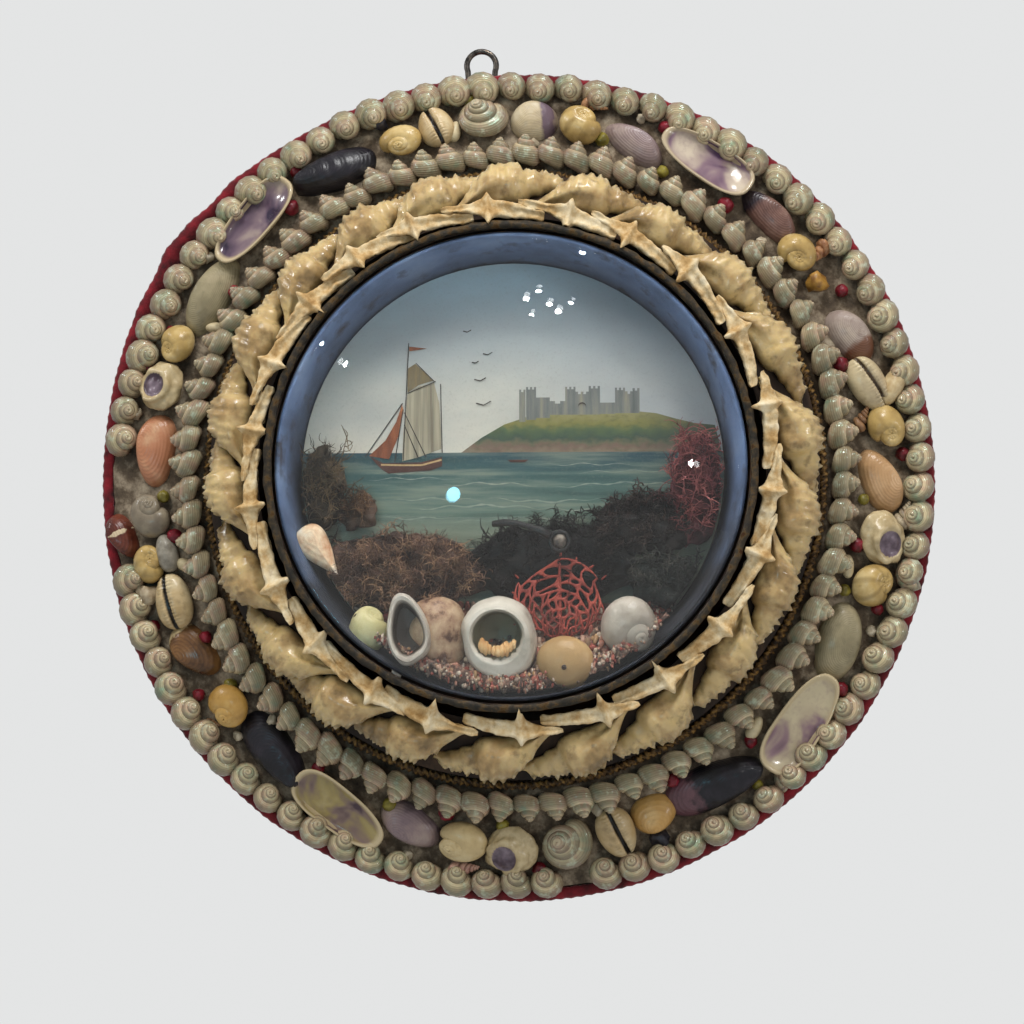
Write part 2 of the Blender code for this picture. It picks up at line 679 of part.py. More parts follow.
wood = new_material("dark_wood", (0.17, 0.10, 0.06), 0.6)
red_cloth = new_material("red_cloth", (0.42, 0.02, 0.04), 0.9)
plaster = new_material("plaster", (0.45, 0.41, 0.35), 0.9)
pasteboard = new_material("pasteboard", (0.13, 0.09, 0.06), 0.8)
painted = new_material("painted_card", (0.55, 0.62, 0.60), 0.7)
blue_paper = new_material("blue_paper", (0.18, 0.26, 0.40), 0.7)
glass = new_material("glass", (0.95, 0.97, 0.97), 0.03)
gilt = new_material("gilt_paper", (0.34, 0.24, 0.11), 0.5, 0.4)
wire = new_material("wire", (0.33, 0.31, 0.29), 0.35, 1.0)
sand = new_material("sand", (0.50, 0.36, 0.32), 0.9)
coral = new_material("red_coral", (0.66, 0.11, 0.09), 0.6)
weed = new_material("seaweed", (0.12, 0.10, 0.06), 0.9)
ivory = new_material("spiny_shell", (0.74, 0.66, 0.47), 0.45)
pearl = new_material("pearly_shell", (0.56, 0.58, 0.50), 0.25)
pale_shell = new_material("pale_shell", (0.80, 0.76, 0.68), 0.35)
shell_colours = {
    "clam": (0.72, 0.66, 0.58),
    "yellow": (0.74, 0.58, 0.27),
    "purple": (0.42, 0.35, 0.40),
    "open": (0.66, 0.58, 0.62),
    "brown": (0.33, 0.19, 0.15),
    "toothed": (0.76, 0.70, 0.58),
    "orange": (0.75, 0.46, 0.30),
    "cream": (0.76, 0.70, 0.56),
    "grey": (0.55, 0.52, 0.44),
    "black": (0.05, 0.04, 0.07),
    "slit": (0.80, 0.75, 0.66),
    "pearly": (0.60, 0.58, 0.50),
    "amber": (0.45, 0.27, 0.14),
    "banded": (0.60, 0.55, 0.48),
}
band_materials = {
    word: new_material(f"{word}_shell", colour, 0.35) for word, colour in shell_colours.items()
}

board = add_board(wood)
cloth = add_cloth_edge(red_cloth)
add_bed(plaster)
add_drum(pasteboard)
add_box(pasteboard)
add_card(painted)
add_lining(blue_paper)
add_glass(glass)
add_bezel(gilt)
add_hanger(wire)
drill_legs(board, cloth)
add_row("outer_shell_row", OUTER_ROW, OUTER_ROW_COUNT, OUTER_ROW_START, OUTER_ROW_SPAN, -1, False, pearl)
add_row("inner_shell_row", INNER_ROW, INNER_ROW_COUNT, 0.0, 2 * math.pi, 1, True, pearl)
add_spiny_ring(ivory)
for shell in BAND:
    add_band_shell(shell, band_materials)
add_sea_bed(sand)
for shell in BED_SHELLS:
    add_bed_shell(shell, pale_shell)
add_coral(coral)
add_weed("seaweed_left", -1, weed)
add_weed("seaweed_right", 1, weed)
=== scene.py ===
import math
import random

import bmesh
import bpy
from mathutils import Matrix, Vector, noise
from mathutils.bvhtree import BVHTree


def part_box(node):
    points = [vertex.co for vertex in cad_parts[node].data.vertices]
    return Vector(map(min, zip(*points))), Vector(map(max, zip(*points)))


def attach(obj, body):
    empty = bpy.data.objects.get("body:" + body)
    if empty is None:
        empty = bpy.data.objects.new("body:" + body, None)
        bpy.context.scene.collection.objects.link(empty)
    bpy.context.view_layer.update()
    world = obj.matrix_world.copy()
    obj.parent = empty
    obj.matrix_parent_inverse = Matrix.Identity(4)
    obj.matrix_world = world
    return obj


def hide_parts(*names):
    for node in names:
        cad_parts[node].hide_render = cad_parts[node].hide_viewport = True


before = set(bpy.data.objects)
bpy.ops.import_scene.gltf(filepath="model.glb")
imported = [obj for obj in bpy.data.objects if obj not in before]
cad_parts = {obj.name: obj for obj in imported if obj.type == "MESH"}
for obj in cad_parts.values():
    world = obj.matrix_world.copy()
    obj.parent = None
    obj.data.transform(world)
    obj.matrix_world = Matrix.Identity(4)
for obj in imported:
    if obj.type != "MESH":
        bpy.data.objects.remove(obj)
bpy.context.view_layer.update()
dice = random.Random(7)
mm = 0.001


def stageNote(text):
    print("shell picture:", text, "done")


# Small helpers for meshes

def bell(value, middle, width):
    return math.exp(-(((value - middle) / width) ** 2))


def eased(value, low, high):
    share = min(1.0, max(0.0, (value - low) / (high - low)))
    return share * share * (3 - 2 * share)


def clockPlace(clock, radius, depth, lean=0.0, turn=0.0):
    # local x runs clockwise, y outward and z toward the viewer
    angle = math.radians(clock)
    spot = Matrix.Translation((radius * math.sin(angle), -depth, radius * math.cos(angle)))
    facing = Matrix.Rotation(angle, 4, "Y") @ Matrix.Rotation(math.pi / 2 - math.radians(lean), 4, "X")
    return spot @ facing @ Matrix.Rotation(math.radians(turn), 4, "Z")


def onClock(clock, radius, depth):
    angle = math.radians(clock)
    return Vector((radius * math.sin(angle), -depth, radius * math.cos(angle)))


def ringOf(node):
    # smallest and largest radius of a CAD node, and its deepest and nearest face
    spots = [vert.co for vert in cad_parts[node].data.vertices]
    radii = [math.hypot(spot.x, spot.z) for spot in spots]
    return min(radii), max(radii), min(-spot.y for spot in spots), max(-spot.y for spot in spots)


def frontAt(node, radius):
    # how far a turned CAD node stands out from the wall at one of its own radii
    spots = [vert.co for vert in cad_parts[node].data.vertices]
    return max(-spot.y for spot in spots if abs(math.hypot(spot.x, spot.z) - radius) < 0.3 * mm)


def centreOf(node):
    low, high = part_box(node)
    return (low + high) / 2


def clockOf(spot):
    return math.degrees(math.atan2(spot.x, spot.z)) % 360, math.hypot(spot.x, spot.z)


def finishPiece(name, form, material, nodes=(), smooth=True, outward=True):
    if outward:
        bmesh.ops.recalc_face_normals(form, faces=form.faces)
    for face in form.faces:
        face.smooth = smooth
    mesh = bpy.data.meshes.new(name)
    form.to_mesh(mesh)
    form.free()
    mesh.materials.append(material)
    piece = bpy.data.objects.new(name, mesh)
    bpy.context.scene.collection.objects.link(piece)
    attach(piece, "root")
    if nodes:
        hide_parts(*nodes)
    return piece


def template(form):
    # a mesh that stamp() copies, with its faces pointing out
    bmesh.ops.recalc_face_normals(form, faces=form.faces)
    mesh = bpy.data.meshes.new("template")
    form.to_mesh(mesh)
    form.free()
    return mesh


def stamp(form, mesh, matrix, tint=None):
    start = len(form.verts)
    form.from_mesh(mesh)
    form.verts.ensure_lookup_table()
    added = form.verts[start:]
    bmesh.ops.transform(form, matrix=matrix, verts=added)
    layer = form.verts.layers.float.get("tint") or form.verts.layers.float.new("tint")
    form.verts.ensure_lookup_table()
    shade = dice.random() if tint is None else tint
    for vert in form.verts[start:]:
        vert[layer] = shade


def wrappedGrid(columns, rows, place, closed=True):
    # a grid whose columns go round (u) and rows go along (v), moved into place point by point
    form = bmesh.new()
    bmesh.ops.create_grid(form, x_segments=columns, y_segments=rows, size=0.5)
    across = form.verts.layers.float.new("across")
    along = form.verts.layers.float.new("along")
    for vert in form.verts:
        u, v = vert.co.x + 0.5, vert.co.y + 0.5
        vert[across] = u
        vert[along] = v
        vert.co = place(u, v)
    if closed:
        bmesh.ops.remove_doubles(form, verts=form.verts, dist=0.01 * mm)
    return form


def turned(profile, steps=96):
    # a line of (radius, depth) points spun about the picture's axis
    form = bmesh.new()
    points = [form.verts.new((radius, -depth, 0.0)) for radius, depth in profile]
    line = [form.edges.new(pair) for pair in zip(points, points[1:])]
    if profile[0][0] > 0:
        line.append(form.edges.new((points[-1], points[0])))
    bmesh.ops.spin(
        form,
        geom=points + line,
        cent=(0, 0, 0),
        axis=(0, 1, 0),
        angle=2 * math.pi,
        steps=steps,
        use_merge=True,
    )
    bmesh.ops.remove_doubles(form, verts=form.verts, dist=0.005 * mm)
    bmesh.ops.recalc_face_normals(form, faces=form.faces)
    return form


def ruffle(form, size, reach, keep=lambda spot: 1.0, seed=0.0):
    # pushes points about with smooth noise: size of its lumps, and how far
    for vert in form.verts:
        push = noise.noise_vector(vert.co / size + Vector((seed, seed, seed)))
        vert.co += push * reach * keep(vert.co)


# Small helpers for materials

def colourOf(code):
    parts = [int(code[i : i + 2], 16) / 255 for i in (0, 2, 4)]
    linear = [part / 12.92 if part < 0.04045 else ((part + 0.055) / 1.055) ** 2.4 for part in parts]
    return (*linear, 1.0)


def addNode(tree, kind, settings=None, inputs=None):
    made = tree.nodes.new("ShaderNode" + kind)
    for name, value in (settings or {}).items():
        setattr(made, name, value)
    for name, value in (inputs or {}).items():
        if isinstance(value, bpy.types.NodeSocket):
            tree.links.new(value, made.inputs[name])
        else:
            made.inputs[name].default_value = value
    return made


def newMaterial(name, roughness, sockets=None):
    material = bpy.data.materials.new(name)
    material.use_nodes = True
    shader = material.node_tree.nodes["Principled BSDF"]
    shader.inputs["Roughness"].default_value = roughness
    for socket, value in (sockets or {}).items():
        shader.inputs[socket].default_value = value
    return material, material.node_tree, shader


def noiseOf(tree, scale, detail=3.0, rough=0.55, stretch=None, distortion=0.0):
    where = addNode(tree, "TexCoord").outputs["Object"]
    if stretch:
        where = addNode(tree, "Mapping", inputs={"Vector": where, "Scale": stretch}).outputs["Vector"]
    inputs = {"Vector": where, "Scale": scale, "Detail": detail, "Roughness": rough, "Distortion": distortion}
    return addNode(tree, "TexNoise", inputs=inputs).outputs["Fac"]


def axesOf(tree):
    where = addNode(tree, "TexCoord").outputs["Object"]
    return addNode(tree, "SeparateXYZ", inputs={"Vector": where}).outputs


def attributeOf(tree, name):
    return addNode(tree, "Attribute", {"attribute_name": name}).outputs["Fac"]


def rampOf(tree, source, stops):
    ramp = addNode(tree, "ValToRGB", inputs={"Fac": source})
    elements = ramp.color_ramp.elements
    while len(elements) < len(stops):
        elements.new(0.5)
    for element, (position, code) in zip(elements, stops):
        element.position = position
        element.color = colourOf(code)
    return ramp.outputs["Color"]


def levelOf(tree, source, low, high, outLow=0.0, outHigh=1.0):
    inputs = {"Value": source, "From Min": low, "From Max": high, "To Min": outLow, "To Max": outHigh}
    return addNode(tree, "MapRange", {"clamp": True}, inputs).outputs["Result"]


def mathOf(tree, operation, *values):
    made = addNode(tree, "Math", {"operation": operation})
    for index, value in enumerate(values):
        if isinstance(value, bpy.types.NodeSocket):
            tree.links.new(value, made.inputs[index])
        else:
            made.inputs[index].default_value = value
    return made.outputs[0]


def mixOf(tree, factor, first, second, blend="MIX"):
    made = addNode(tree, "Mix", {"data_type": "RGBA", "blend_type": blend})
    for index, value in ((0, factor), (6, first), (7, second)):
        if isinstance(value, str):
            value = colourOf(value)
        if isinstance(value, bpy.types.NodeSocket):
            tree.links.new(value, made.inputs[index])
        else:
            made.inputs[index].default_value = value
    return made.outputs[2]


def bumpOn(tree, shader, height, distance, strength=1.0):
    made = addNode(tree, "Bump", inputs={"Height": height, "Distance": distance, "Strength": strength})
    before = shader.inputs["Normal"].links
    if before:
        tree.links.new(before[0].from_socket, made.inputs["Normal"])
    tree.links.new(made.outputs["Normal"], shader.inputs["Normal"])


def colourFrom(tree, shader, socket):
    tree.links.new(socket, shader.inputs["Base Color"])


# Sizes that come from the frame

boardRadius, boardFront = ringOf("base_board")[1], ringOf("base_board")[3]
rimInner, rimRadius, rimBack, rimFront = ringOf("velvet_rim")
bedInner, bedOuter, bedBack = ringOf("plaster_bed")[:3]
bedEdge, bedCrest = frontAt("plaster_bed", bedOuter), frontAt("plaster_bed", bedInner)
drumInner, drumOuter, drumBack, drumCrest = ringOf("drum")
drumEdge = frontAt("drum", drumOuter)
boxRadius, boxBack, boxFront = ringOf("scene_box")[1:]
cardRadius, cardBack, cardFront = ringOf("painted_card")[1:]
liningFoot, liningOuter, liningBack, liningFront = ringOf("blue_lining")
glassRadius, glassBack, glassFront = ringOf("glass_dome")[1:]
bezelInner, bezelOuter, bezelBack, bezelFront = ringOf("gilt_bezel")
outerRow = sum(ringOf("outer_shell_row")[:2]) / 2
innerRow = sum(ringOf("inner_shell_row")[:2]) / 2
bedSlope = (bedCrest - bedEdge) / (bedOuter - bedInner)
bedLean = math.degrees(math.atan(bedSlope))
drumSlope = (drumCrest - drumEdge) / (drumOuter - drumInner)


def bedFront(radius):
    return bedEdge + (bedOuter - radius) * bedSlope


def drumFront(radius):
    return drumEdge + (drumOuter - radius) * drumSlope


# Camera, floor and light

view = {"azimuth": 2.4, "elevation": -7.0, "distance": 0.62, "lens": 65.7, "aim": (-0.0010, -0.0105, -0.0111)}
studio = {
    "world": "e9eaea",
    "worldStrength": 0.40,
    "backdropStrength": 0.95,
    "floorDrop": 1.20,
    # place, diameter, power and colour of each lamp; only the small ones are mirrored by the glass
    "softLamps": [
        ((-0.45, -0.80, 0.95), 0.45, 6.8, "fffaf2"),
        ((0.85, -0.95, 0.15), 0.45, 2.4, "fffaf2"),
        ((0.15, -0.45, 1.05), 0.40, 3.2, "fffaf2"),
    ],
    "smallLamps": [
        ((0.03, -0.37, 0.56), 0.020, 0.30, "ffffff"),
        ((0.065, -0.34, 0.58), 0.016, 0.20, "ffffff"),
        ((0.10, -0.38, 0.545), 0.018, 0.22, "ffffff"),
        ((0.13, -0.40, 0.53), 0.020, 0.24, "ffffff"),
        ((0.165, -0.36, 0.55), 0.014, 0.16, "ffffff"),
        ((0.05, -0.43, 0.53), 0.014, 0.16, "ffffff"),
        ((-0.50, -0.28, 0.36), 0.020, 0.30, "ffffff"),
        ((-0.53, -0.14, 0.40), 0.016, 0.20, "ffffff"),
        ((0.17, -0.14, 0.64), 0.018, 0.24, "ffffff"),
        ((0.55, -0.39, 0.06), 0.022, 0.26, "ffffff"),
        ((-0.21, -0.64, -0.06), 0.048, 0.16, "8fe6ff"),
    ],
}


def makeCamera():
    camera = bpy.data.objects.new("camera", bpy.data.cameras.new("camera"))
    bpy.context.scene.collection.objects.link(camera)
    azimuth, elevation = math.radians(view["azimuth"]), math.radians(view["elevation"])
    level = math.cos(elevation)
    back = Vector((math.sin(azimuth) * level, -math.cos(azimuth) * level, math.sin(elevation)))
    camera.location = Vector((0, -rimFront, 0)) + back * view["distance"]
    camera.rotation_euler = (Vector(view["aim"]) - camera.location).to_track_quat("-Z", "Y").to_euler()
    camera.data.lens = view["lens"]
    camera.data.clip_start = 0.01
    bpy.context.scene.camera = camera


def makeLight(name, spot, size, power, colour, mirrored):
    lamp = bpy.data.lights.new(name, "AREA")
    lamp.shape = "DISK"
    lamp.energy = power
    lamp.color = colourOf(colour)[:3]
    lamp.size = size
    light = bpy.data.objects.new(name, lamp)
    light.location = spot
    light.rotation_euler = (-Vector(spot)).to_track_quat("-Z", "Y").to_euler()
    light.visible_glossy = mirrored
    light.visible_transmission = mirrored
    bpy.context.scene.collection.objects.link(light)


def makeStudio():
    world = bpy.data.worlds.new("studio")
    world.use_nodes = True
    sky = world.node_tree.nodes["Background"]
    sky.inputs["Color"].default_value = colourOf(studio["world"])
    seen = addNode(world.node_tree, "LightPath").outputs["Is Camera Ray"]
    glow = levelOf(world.node_tree, seen, 0.0, 1.0, studio["worldStrength"], studio["backdropStrength"])
    world.node_tree.links.new(glow, sky.inputs["Strength"])
    bpy.context.scene.world = world
    bpy.context.scene.view_settings.view_transform = "Standard"
    for index, lamp in enumerate(studio["softLamps"]):
        makeLight(f"softLamp{index}", *lamp, False)
    for index, lamp in enumerate(studio["smallLamps"]):
        makeLight(f"smallLamp{index}", *lamp, True)
    form = bmesh.new()
    bmesh.ops.create_grid(form, x_segments=1, y_segments=1, size=6.0)
    bmesh.ops.translate(form, vec=(0, 0, -studio["floorDrop"]), verts=form.verts)
    mesh = bpy.data.meshes.new("floor")
    form.to_mesh(mesh)
    form.free()
    material, tree, shader = newMaterial("floorPaint", 0.8, {"Emission Strength": 0.22})
    paint = rampOf(tree, noiseOf(tree, 3.0), [(0.3, "f0efec"), (0.7, "f5f4f1")])
    colourFrom(tree, shader, paint)
    tree.links.new(paint, shader.inputs["Emission Color"])
    mesh.materials.append(material)
    floor = bpy.data.objects.new("floor", mesh)
    floor.visible_glossy = False  # the glass doesn't mirror the floor
    bpy.context.scene.collection.objects.link(floor)


# Materials

shellFinishes = {
    # three body colours, a darker growth-line colour, how strong the lines are, lines per unit, roughness;
    # then, for some, a colour patch: its colour, and its middle and half width across the shell's own length
    "clam": ("c9bda2", "bfae8c", "a3937b", "7a6a72", 0.35, 24, 0.40, ("5d4a5e", 0.55, 0.30)),
    "ochre": ("a08450", "b69a60", "ccb684", "5f4a26", 0.40, 7, 0.28, None),
    "mauve": ("77656a", "8b7876", "9d8c84", "4b3d45", 0.20, 14, 0.35, None),
    "brownMussel": ("5c403a", "76574e", "8f7264", "33211c", 0.35, 14, 0.35, ("1d1b26", -0.80, 0.38)),
    "brownClam": ("8f7f78", "a3948a", "b3a494", "6a5550", 0.15, 18, 0.40, ("6a3f26", 0.66, 0.36)),
    "brownTellin": ("4d241d", "6b3526", "7d4a34", "2b1512", 0.30, 9, 0.30, ("cdbb9c", 0.10, 0.07)),
    "orangeTellin": ("a86e4e", "b57c5c", "c69c7a", "8a5a40", 0.06, 12, 0.30, None),
    "tanTellin": ("a37f58", "b38e66", "c2a07a", "84603f", 0.08, 12, 0.30, None),
    "orangeSnail": ("a8803e", "bd9450", "c9a868", "7a5626", 0.35, 6, 0.30, None),
    "creamBean": ("b58b4e", "c39a5c", "cfae78", "8d6a38", 0.20, 8, 0.30, None),
    "creamSnail": ("a8926a", "bfa97c", "cdbb92", "7d683f", 0.30, 9, 0.34, None),
    "grey": ("7c7258", "8f8568", "a4977a", "5f5742", 0.15, 22, 0.50, None),
    "black": ("101014", "1c1a22", "2c2730", "070709", 0.30, 22, 0.36, None),
    "blackMauve": ("101014", "1c1a22", "2c2730", "070709", 0.30, 22, 0.34, ("6b4a52", 0.75, 0.34)),
    "amber": ("46301f", "6b4a2c", "8a6238", "2b1710", 0.30, 10, 0.24, ("c9b48a", 0.86, 0.14)),
    "banded": ("6f6456", "857a68", "978b76", "4f453b", 0.45, 5, 0.34, None),
}
# Shells with a slit or a coloured mouth: three body colours, and two colours of the opening. The violet
# mouths are the shells' own colour; the dark slit colours are painted shadow inside the slit
mouthFinishes = {
    "toothed": ("b3a283", "c9b995", "d6caa9", "3a2c1e", "5c4a34"),
    "slit": ("b0966a", "c2aa80", "cfbd98", "15100c", "2a1e16"),
    "violetMouth": ("a8946e", "c2b08a", "9a8866", "44343f", "857682"),
}
# The inner side of an open valve: four colours from the darkest blotches to the body, then the rim
nacreFinishes = {
    "nwNacre": ("2b2136", "5c4b5a", "77656c", "a39488", "b9a888"),
    "neNacre": ("4a3350", "7d6672", "a8988e", "bfb2a0", "b5a58a"),
    "seNacre": ("4d3545", "8a7078", "b3a48c", "c3b698", "bfae8c"),
    "swNacre": ("43303a", "7a6660", "9a8a58", "b3a478", "bfae8c"),
}


def shellMaterial(name):
    first, second, third, dark, strength, lines, roughness, patch = shellFinishes[name]
    material, tree, shader = newMaterial(
        name + "Shell", roughness, {"Coat Weight": 0.25, "Coat Roughness": 0.2}
    )
    body = rampOf(tree, noiseOf(tree, 95, 5, 0.6), [(0.36, first), (0.52, second), (0.68, third)])
    if patch:
        colour, middle, half = patch
        away = mathOf(tree, "ABSOLUTE", mathOf(tree, "SUBTRACT", attributeOf(tree, "lengthwise"), middle))
        ragged = mathOf(tree, "ADD", away, levelOf(tree, noiseOf(tree, 210, 4), 0.3, 0.7, -0.12, 0.12))
        body = mixOf(tree, levelOf(tree, ragged, half * 0.7, half * 1.2, 0.92, 0.0), body, colour)
    wobble = mathOf(
        tree, "ADD", attributeOf(tree, "along"), mathOf(tree, "MULTIPLY", noiseOf(tree, 90, 3), 0.10)
    )
    growth = mathOf(tree, "SINE", mathOf(tree, "MULTIPLY", wobble, lines * 6.283))
    faded = mathOf(
        tree, "MULTIPLY", levelOf(tree, growth, 0.1, 1.0), levelOf(tree, noiseOf(tree, 60, 2), 0.4, 0.65)
    )
    body = mixOf(tree, mathOf(tree, "MULTIPLY", faded, strength), body, dark)
    grime = levelOf(tree, noiseOf(tree, 420, 5), 0.56, 0.74, 0.0, 0.4)
    colourFrom(tree, shader, mixOf(tree, grime, body, dark))
    bumpOn(tree, shader, growth, 0.00008, 0.35)
    bumpOn(tree, shader, noiseOf(tree, 900, 3), 0.0001, 0.5)
    return material


def mouthMaterial(name):
    # "opening" runs from 0 on the body to 1 in the mouth or slit
    first, second, third, deep, light = mouthFinishes[name]
    material, tree, shader = newMaterial(name + "Shell", 0.30, {"Coat Weight": 0.3, "Coat Roughness": 0.18})
    body = rampOf(tree, noiseOf(tree, 120, 5, 0.6), [(0.36, first), (0.52, second), (0.68, third)])
    grime = levelOf(tree, noiseOf(tree, 380, 5), 0.55, 0.72, 0.0, 0.4)
    body = mixOf(tree, grime, body, "7d6a4c")
    # the opening's colours: painted shadow in the dark slits, the shell's own colour in the violet mouths
    inside = rampOf(tree, noiseOf(tree, 170, 4), [(0.40, deep), (0.66, light)])
    colourFrom(
        tree, shader, mixOf(tree, levelOf(tree, attributeOf(tree, "opening"), 0.3, 0.62), body, inside)
    )
    bumpOn(tree, shader, noiseOf(tree, 900, 3), 0.0001, 0.5)
    return material


def nacreMaterial(name):
    darkest, dark, middle, light, rim = nacreFinishes[name]
    material, tree, shader = newMaterial(name, 0.16, {"Coat Weight": 0.4, "Coat Roughness": 0.1})
    blotches = noiseOf(tree, 62, 3, 0.5, distortion=0.6)
    body = rampOf(tree, blotches, [(0.36, darkest), (0.44, dark), (0.52, middle), (0.62, light)])
    streaks = levelOf(tree, noiseOf(tree, 520, 4), 0.5, 0.72, 0.0, 0.3)
    body = mixOf(tree, streaks, body, dark)
    edge = levelOf(tree, attributeOf(tree, "along"), 0.90, 0.97)
    colourFrom(tree, shader, mixOf(tree, edge, body, rim))
    bumpOn(tree, shader, noiseOf(tree, 600, 3), 0.00008, 0.4)
    return material


def pearlyMaterial():
    material, tree, shader = newMaterial("pearlyShell", 0.26, {"Coat Weight": 0.5, "Coat Roughness": 0.14})
    shader.inputs["Thin Film Thickness"].default_value = 420.0
    shader.inputs["Thin Film IOR"].default_value = 1.6
    body = rampOf(
        tree,
        noiseOf(tree, 150, 3),
        [(0.28, "a6c4b0"), (0.42, "d3cab0"), (0.52, "e6dac0"), (0.62, "dfc2b2"), (0.74, "bcd0bc")],
    )
    shade = rampOf(
        tree, attributeOf(tree, "tint"),
        [(0.0, "b8aa92"), (0.4, "dccfb4"), (0.8, "ece0c6"), (1.0, "cbb198")],
    )
    body = mixOf(tree, 0.72, body, shade, "MULTIPLY")
    ribs = mathOf(tree, "SINE", mathOf(tree, "MULTIPLY", attributeOf(tree, "across"), 163.0))
    body = mixOf(tree, levelOf(tree, ribs, 0.2, 1.0, 0.0, 0.34), body, "6b5c4a")
    turn = mathOf(tree, "MULTIPLY", attributeOf(tree, "across"), 6.283)
    # darker along each suture: a dark suture line with painted shade in the crease between whorls
    sutureAndShade = levelOf(tree, mathOf(tree, "COSINE", mathOf(tree, "SUBTRACT", turn, 3.5)), 0.62, 0.97, 0.0, 0.6)
    body = mixOf(tree, sutureAndShade, body, "5a4a3a")
    patch = levelOf(tree, noiseOf(tree, 330, 4), 0.56, 0.7)
    body = mixOf(tree, mathOf(tree, "MULTIPLY", patch, 0.45), body, "cfdcc4")
    grime = levelOf(tree, noiseOf(tree, 260, 5), 0.54, 0.72, 0.0, 0.4)
    body = mixOf(tree, grime, body, "6a5a45")
    tip = levelOf(tree, attributeOf(tree, "along"), 0.0, 1.3, 0.55, 0.0)
    body = mixOf(tree, tip, body, "c9b59a")
    colourFrom(tree, shader, body)
    bumpOn(tree, shader, ribs, 0.0001, 0.35)
    bumpOn(tree, shader, noiseOf(tree, 1200, 3), 0.00008, 0.4)
    return material


def plasterMaterial():
    material, tree, shader = newMaterial("plaster", 0.9)
    body = rampOf(
        tree, noiseOf(tree, 140, 6, 0.65),
        [(0.3, "2c231b"), (0.48, "5e5142"), (0.6, "948673"), (0.75, "b9ac96")],
    )
    colourFrom(tree, shader, body)
    bumpOn(tree, shader, noiseOf(tree, 500, 6, 0.7), 0.0006, 0.8)
    return material


def clothMaterial():
    material, tree, shader = newMaterial("redCloth", 0.85, {"Sheen Weight": 0.4, "Sheen Roughness": 0.4})
    body = rampOf(tree, noiseOf(tree, 240, 5), [(0.3, "3a070d"), (0.5, "6b0e1a"), (0.72, "8a1624")])
    colourFrom(tree, shader, body)
    bumpOn(tree, shader, noiseOf(tree, 2200, 3), 0.0003, 0.7)
    return material


def boardMaterial(name, stops, scale, bump, roughness=0.75):
    material, tree, shader = newMaterial(name, roughness)
    colourFrom(tree, shader, rampOf(tree, noiseOf(tree, scale, 6, 0.6, (1, 1, 0.12)), stops))
    bumpOn(tree, shader, noiseOf(tree, scale * 3, 5), bump, 0.6)
    return material


# Turned pieces: board, cloth edge, bed, drum, box, lining, glass and its paper edge

board = {"bevel": 1.2 * mm, "grain": 60}


def addBoard():
    bevel = board["bevel"]
    profile = [
        (0, boardFront), (boardRadius, boardFront), (boardRadius, bevel), (boardRadius - bevel, 0), (0, 0)
    ]
    wood = boardMaterial(
        "darkWood", [(0.3, "3a2416"), (0.55, "56371f"), (0.75, "6d4a2b")], board["grain"], 0.0003
    )
    finishPiece("baseBoard", turned(profile), wood, ["base_board"], smooth=False)


cloth = {
    "ribs": 260, "ribReach": 0.30 * mm, "round": 0.7 * mm, "slipClock": 304.0, "slipWidth": 19.0,
    "slipReach": 3.3 * mm,
}


def addCloth():
    inside = boardRadius + 0.3 * mm
    soft = cloth["round"]
    profile = [
        (rimRadius - soft, rimBack),
        (rimRadius, rimBack + soft),
        (rimRadius, (rimBack + rimFront) / 2),
        (rimRadius, rimFront - soft),
        (rimRadius - soft, rimFront),
        (rimInner + soft, rimFront),
        (rimInner, rimFront - soft),
        (rimInner, boardFront + 0.3 * mm),
        (inside, boardFront + 0.3 * mm),
        (inside, rimBack),
    ]
    form = turned(profile, cloth["ribs"] * 4)
    for vert in form.verts:
        radius = math.hypot(vert.co.x, vert.co.z)
        if radius < inside - 0.1 * mm and -vert.co.y < rimFront - 2 * soft:
            continue
        wave = 0.5 + 0.5 * math.cos(cloth["ribs"] * math.atan2(vert.co.x, vert.co.z))
        lump = noise.noise(vert.co / (9 * mm))
        slipped = bell(clockOf(vert.co)[0], cloth["slipClock"], cloth["slipWidth"])
        slip = cloth["slipReach"] * slipped * (1 + 0.5 * lump)
        reach = 1 + (slip - cloth["ribReach"] * (wave + lump)) / radius
        vert.co.x *= reach
        vert.co.z *= reach
    finishPiece("clothEdge", form, clothMaterial(), ["velvet_rim"])


bed = {"rings": 14, "steps": 220, "lumps": 5 * mm, "lumpReach": 1.1 * mm, "evenBack": 1.5 * mm}


def addBed():
    rings = bed["rings"]
    profile = []
    for i in range(rings + 1):
        radius = bedOuter + (bedInner - bedOuter) * i / rings
        profile.append((radius, bedFront(radius)))
    profile += [(bedInner, bedBack), (bedOuter, bedBack)]
    form = turned(profile, bed["steps"])
    even = bedBack + bed["evenBack"]
    ruffle(form, bed["lumps"], bed["lumpReach"], lambda spot: 1.0 if -spot.y > even else 0.0)
    finishPiece("plasterBed", form, plasterMaterial(), ["plaster_bed"])


box = {"gap": 0.3 * mm, "floor": 2.5 * mm}


def addDrum():
    # near-black card: partly its own dark colour, partly painted shade for the trough round the glass
    card = boardMaterial(
        "darkPasteboardAndShade", [(0.3, "120c08"), (0.55, "2a1d13"), (0.78, "4b3522")], 150, 0.0004, 0.85
    )
    profile = [(drumOuter, drumEdge), (drumInner, drumCrest), (drumInner, drumBack), (drumOuter, drumBack)]
    finishPiece("drumWall", turned(profile, 120), card, ["drum"], smooth=False)
    inside = liningOuter + box["gap"]
    floorFront = cardBack - box["gap"]
    floorBack = floorFront - box["floor"]
    profile = [
        (0, floorFront),
        (inside, floorFront),
        (inside, boxFront),
        (boxRadius, boxFront),
        (boxRadius, boxBack),
        (inside, boxBack),
        (inside, floorBack),
        (0, floorBack),
    ]
    finishPiece("sceneBox", turned(profile, 120), card, ["scene_box"], smooth=False)


# The painted shade on the lining is full at its foot and gone at its top, up from the middle of the picture
lining = {"wall": 0.8 * mm, "shadeFoot": -34 * mm, "shadeTop": 6 * mm, "shadeRagged": 14 * mm}


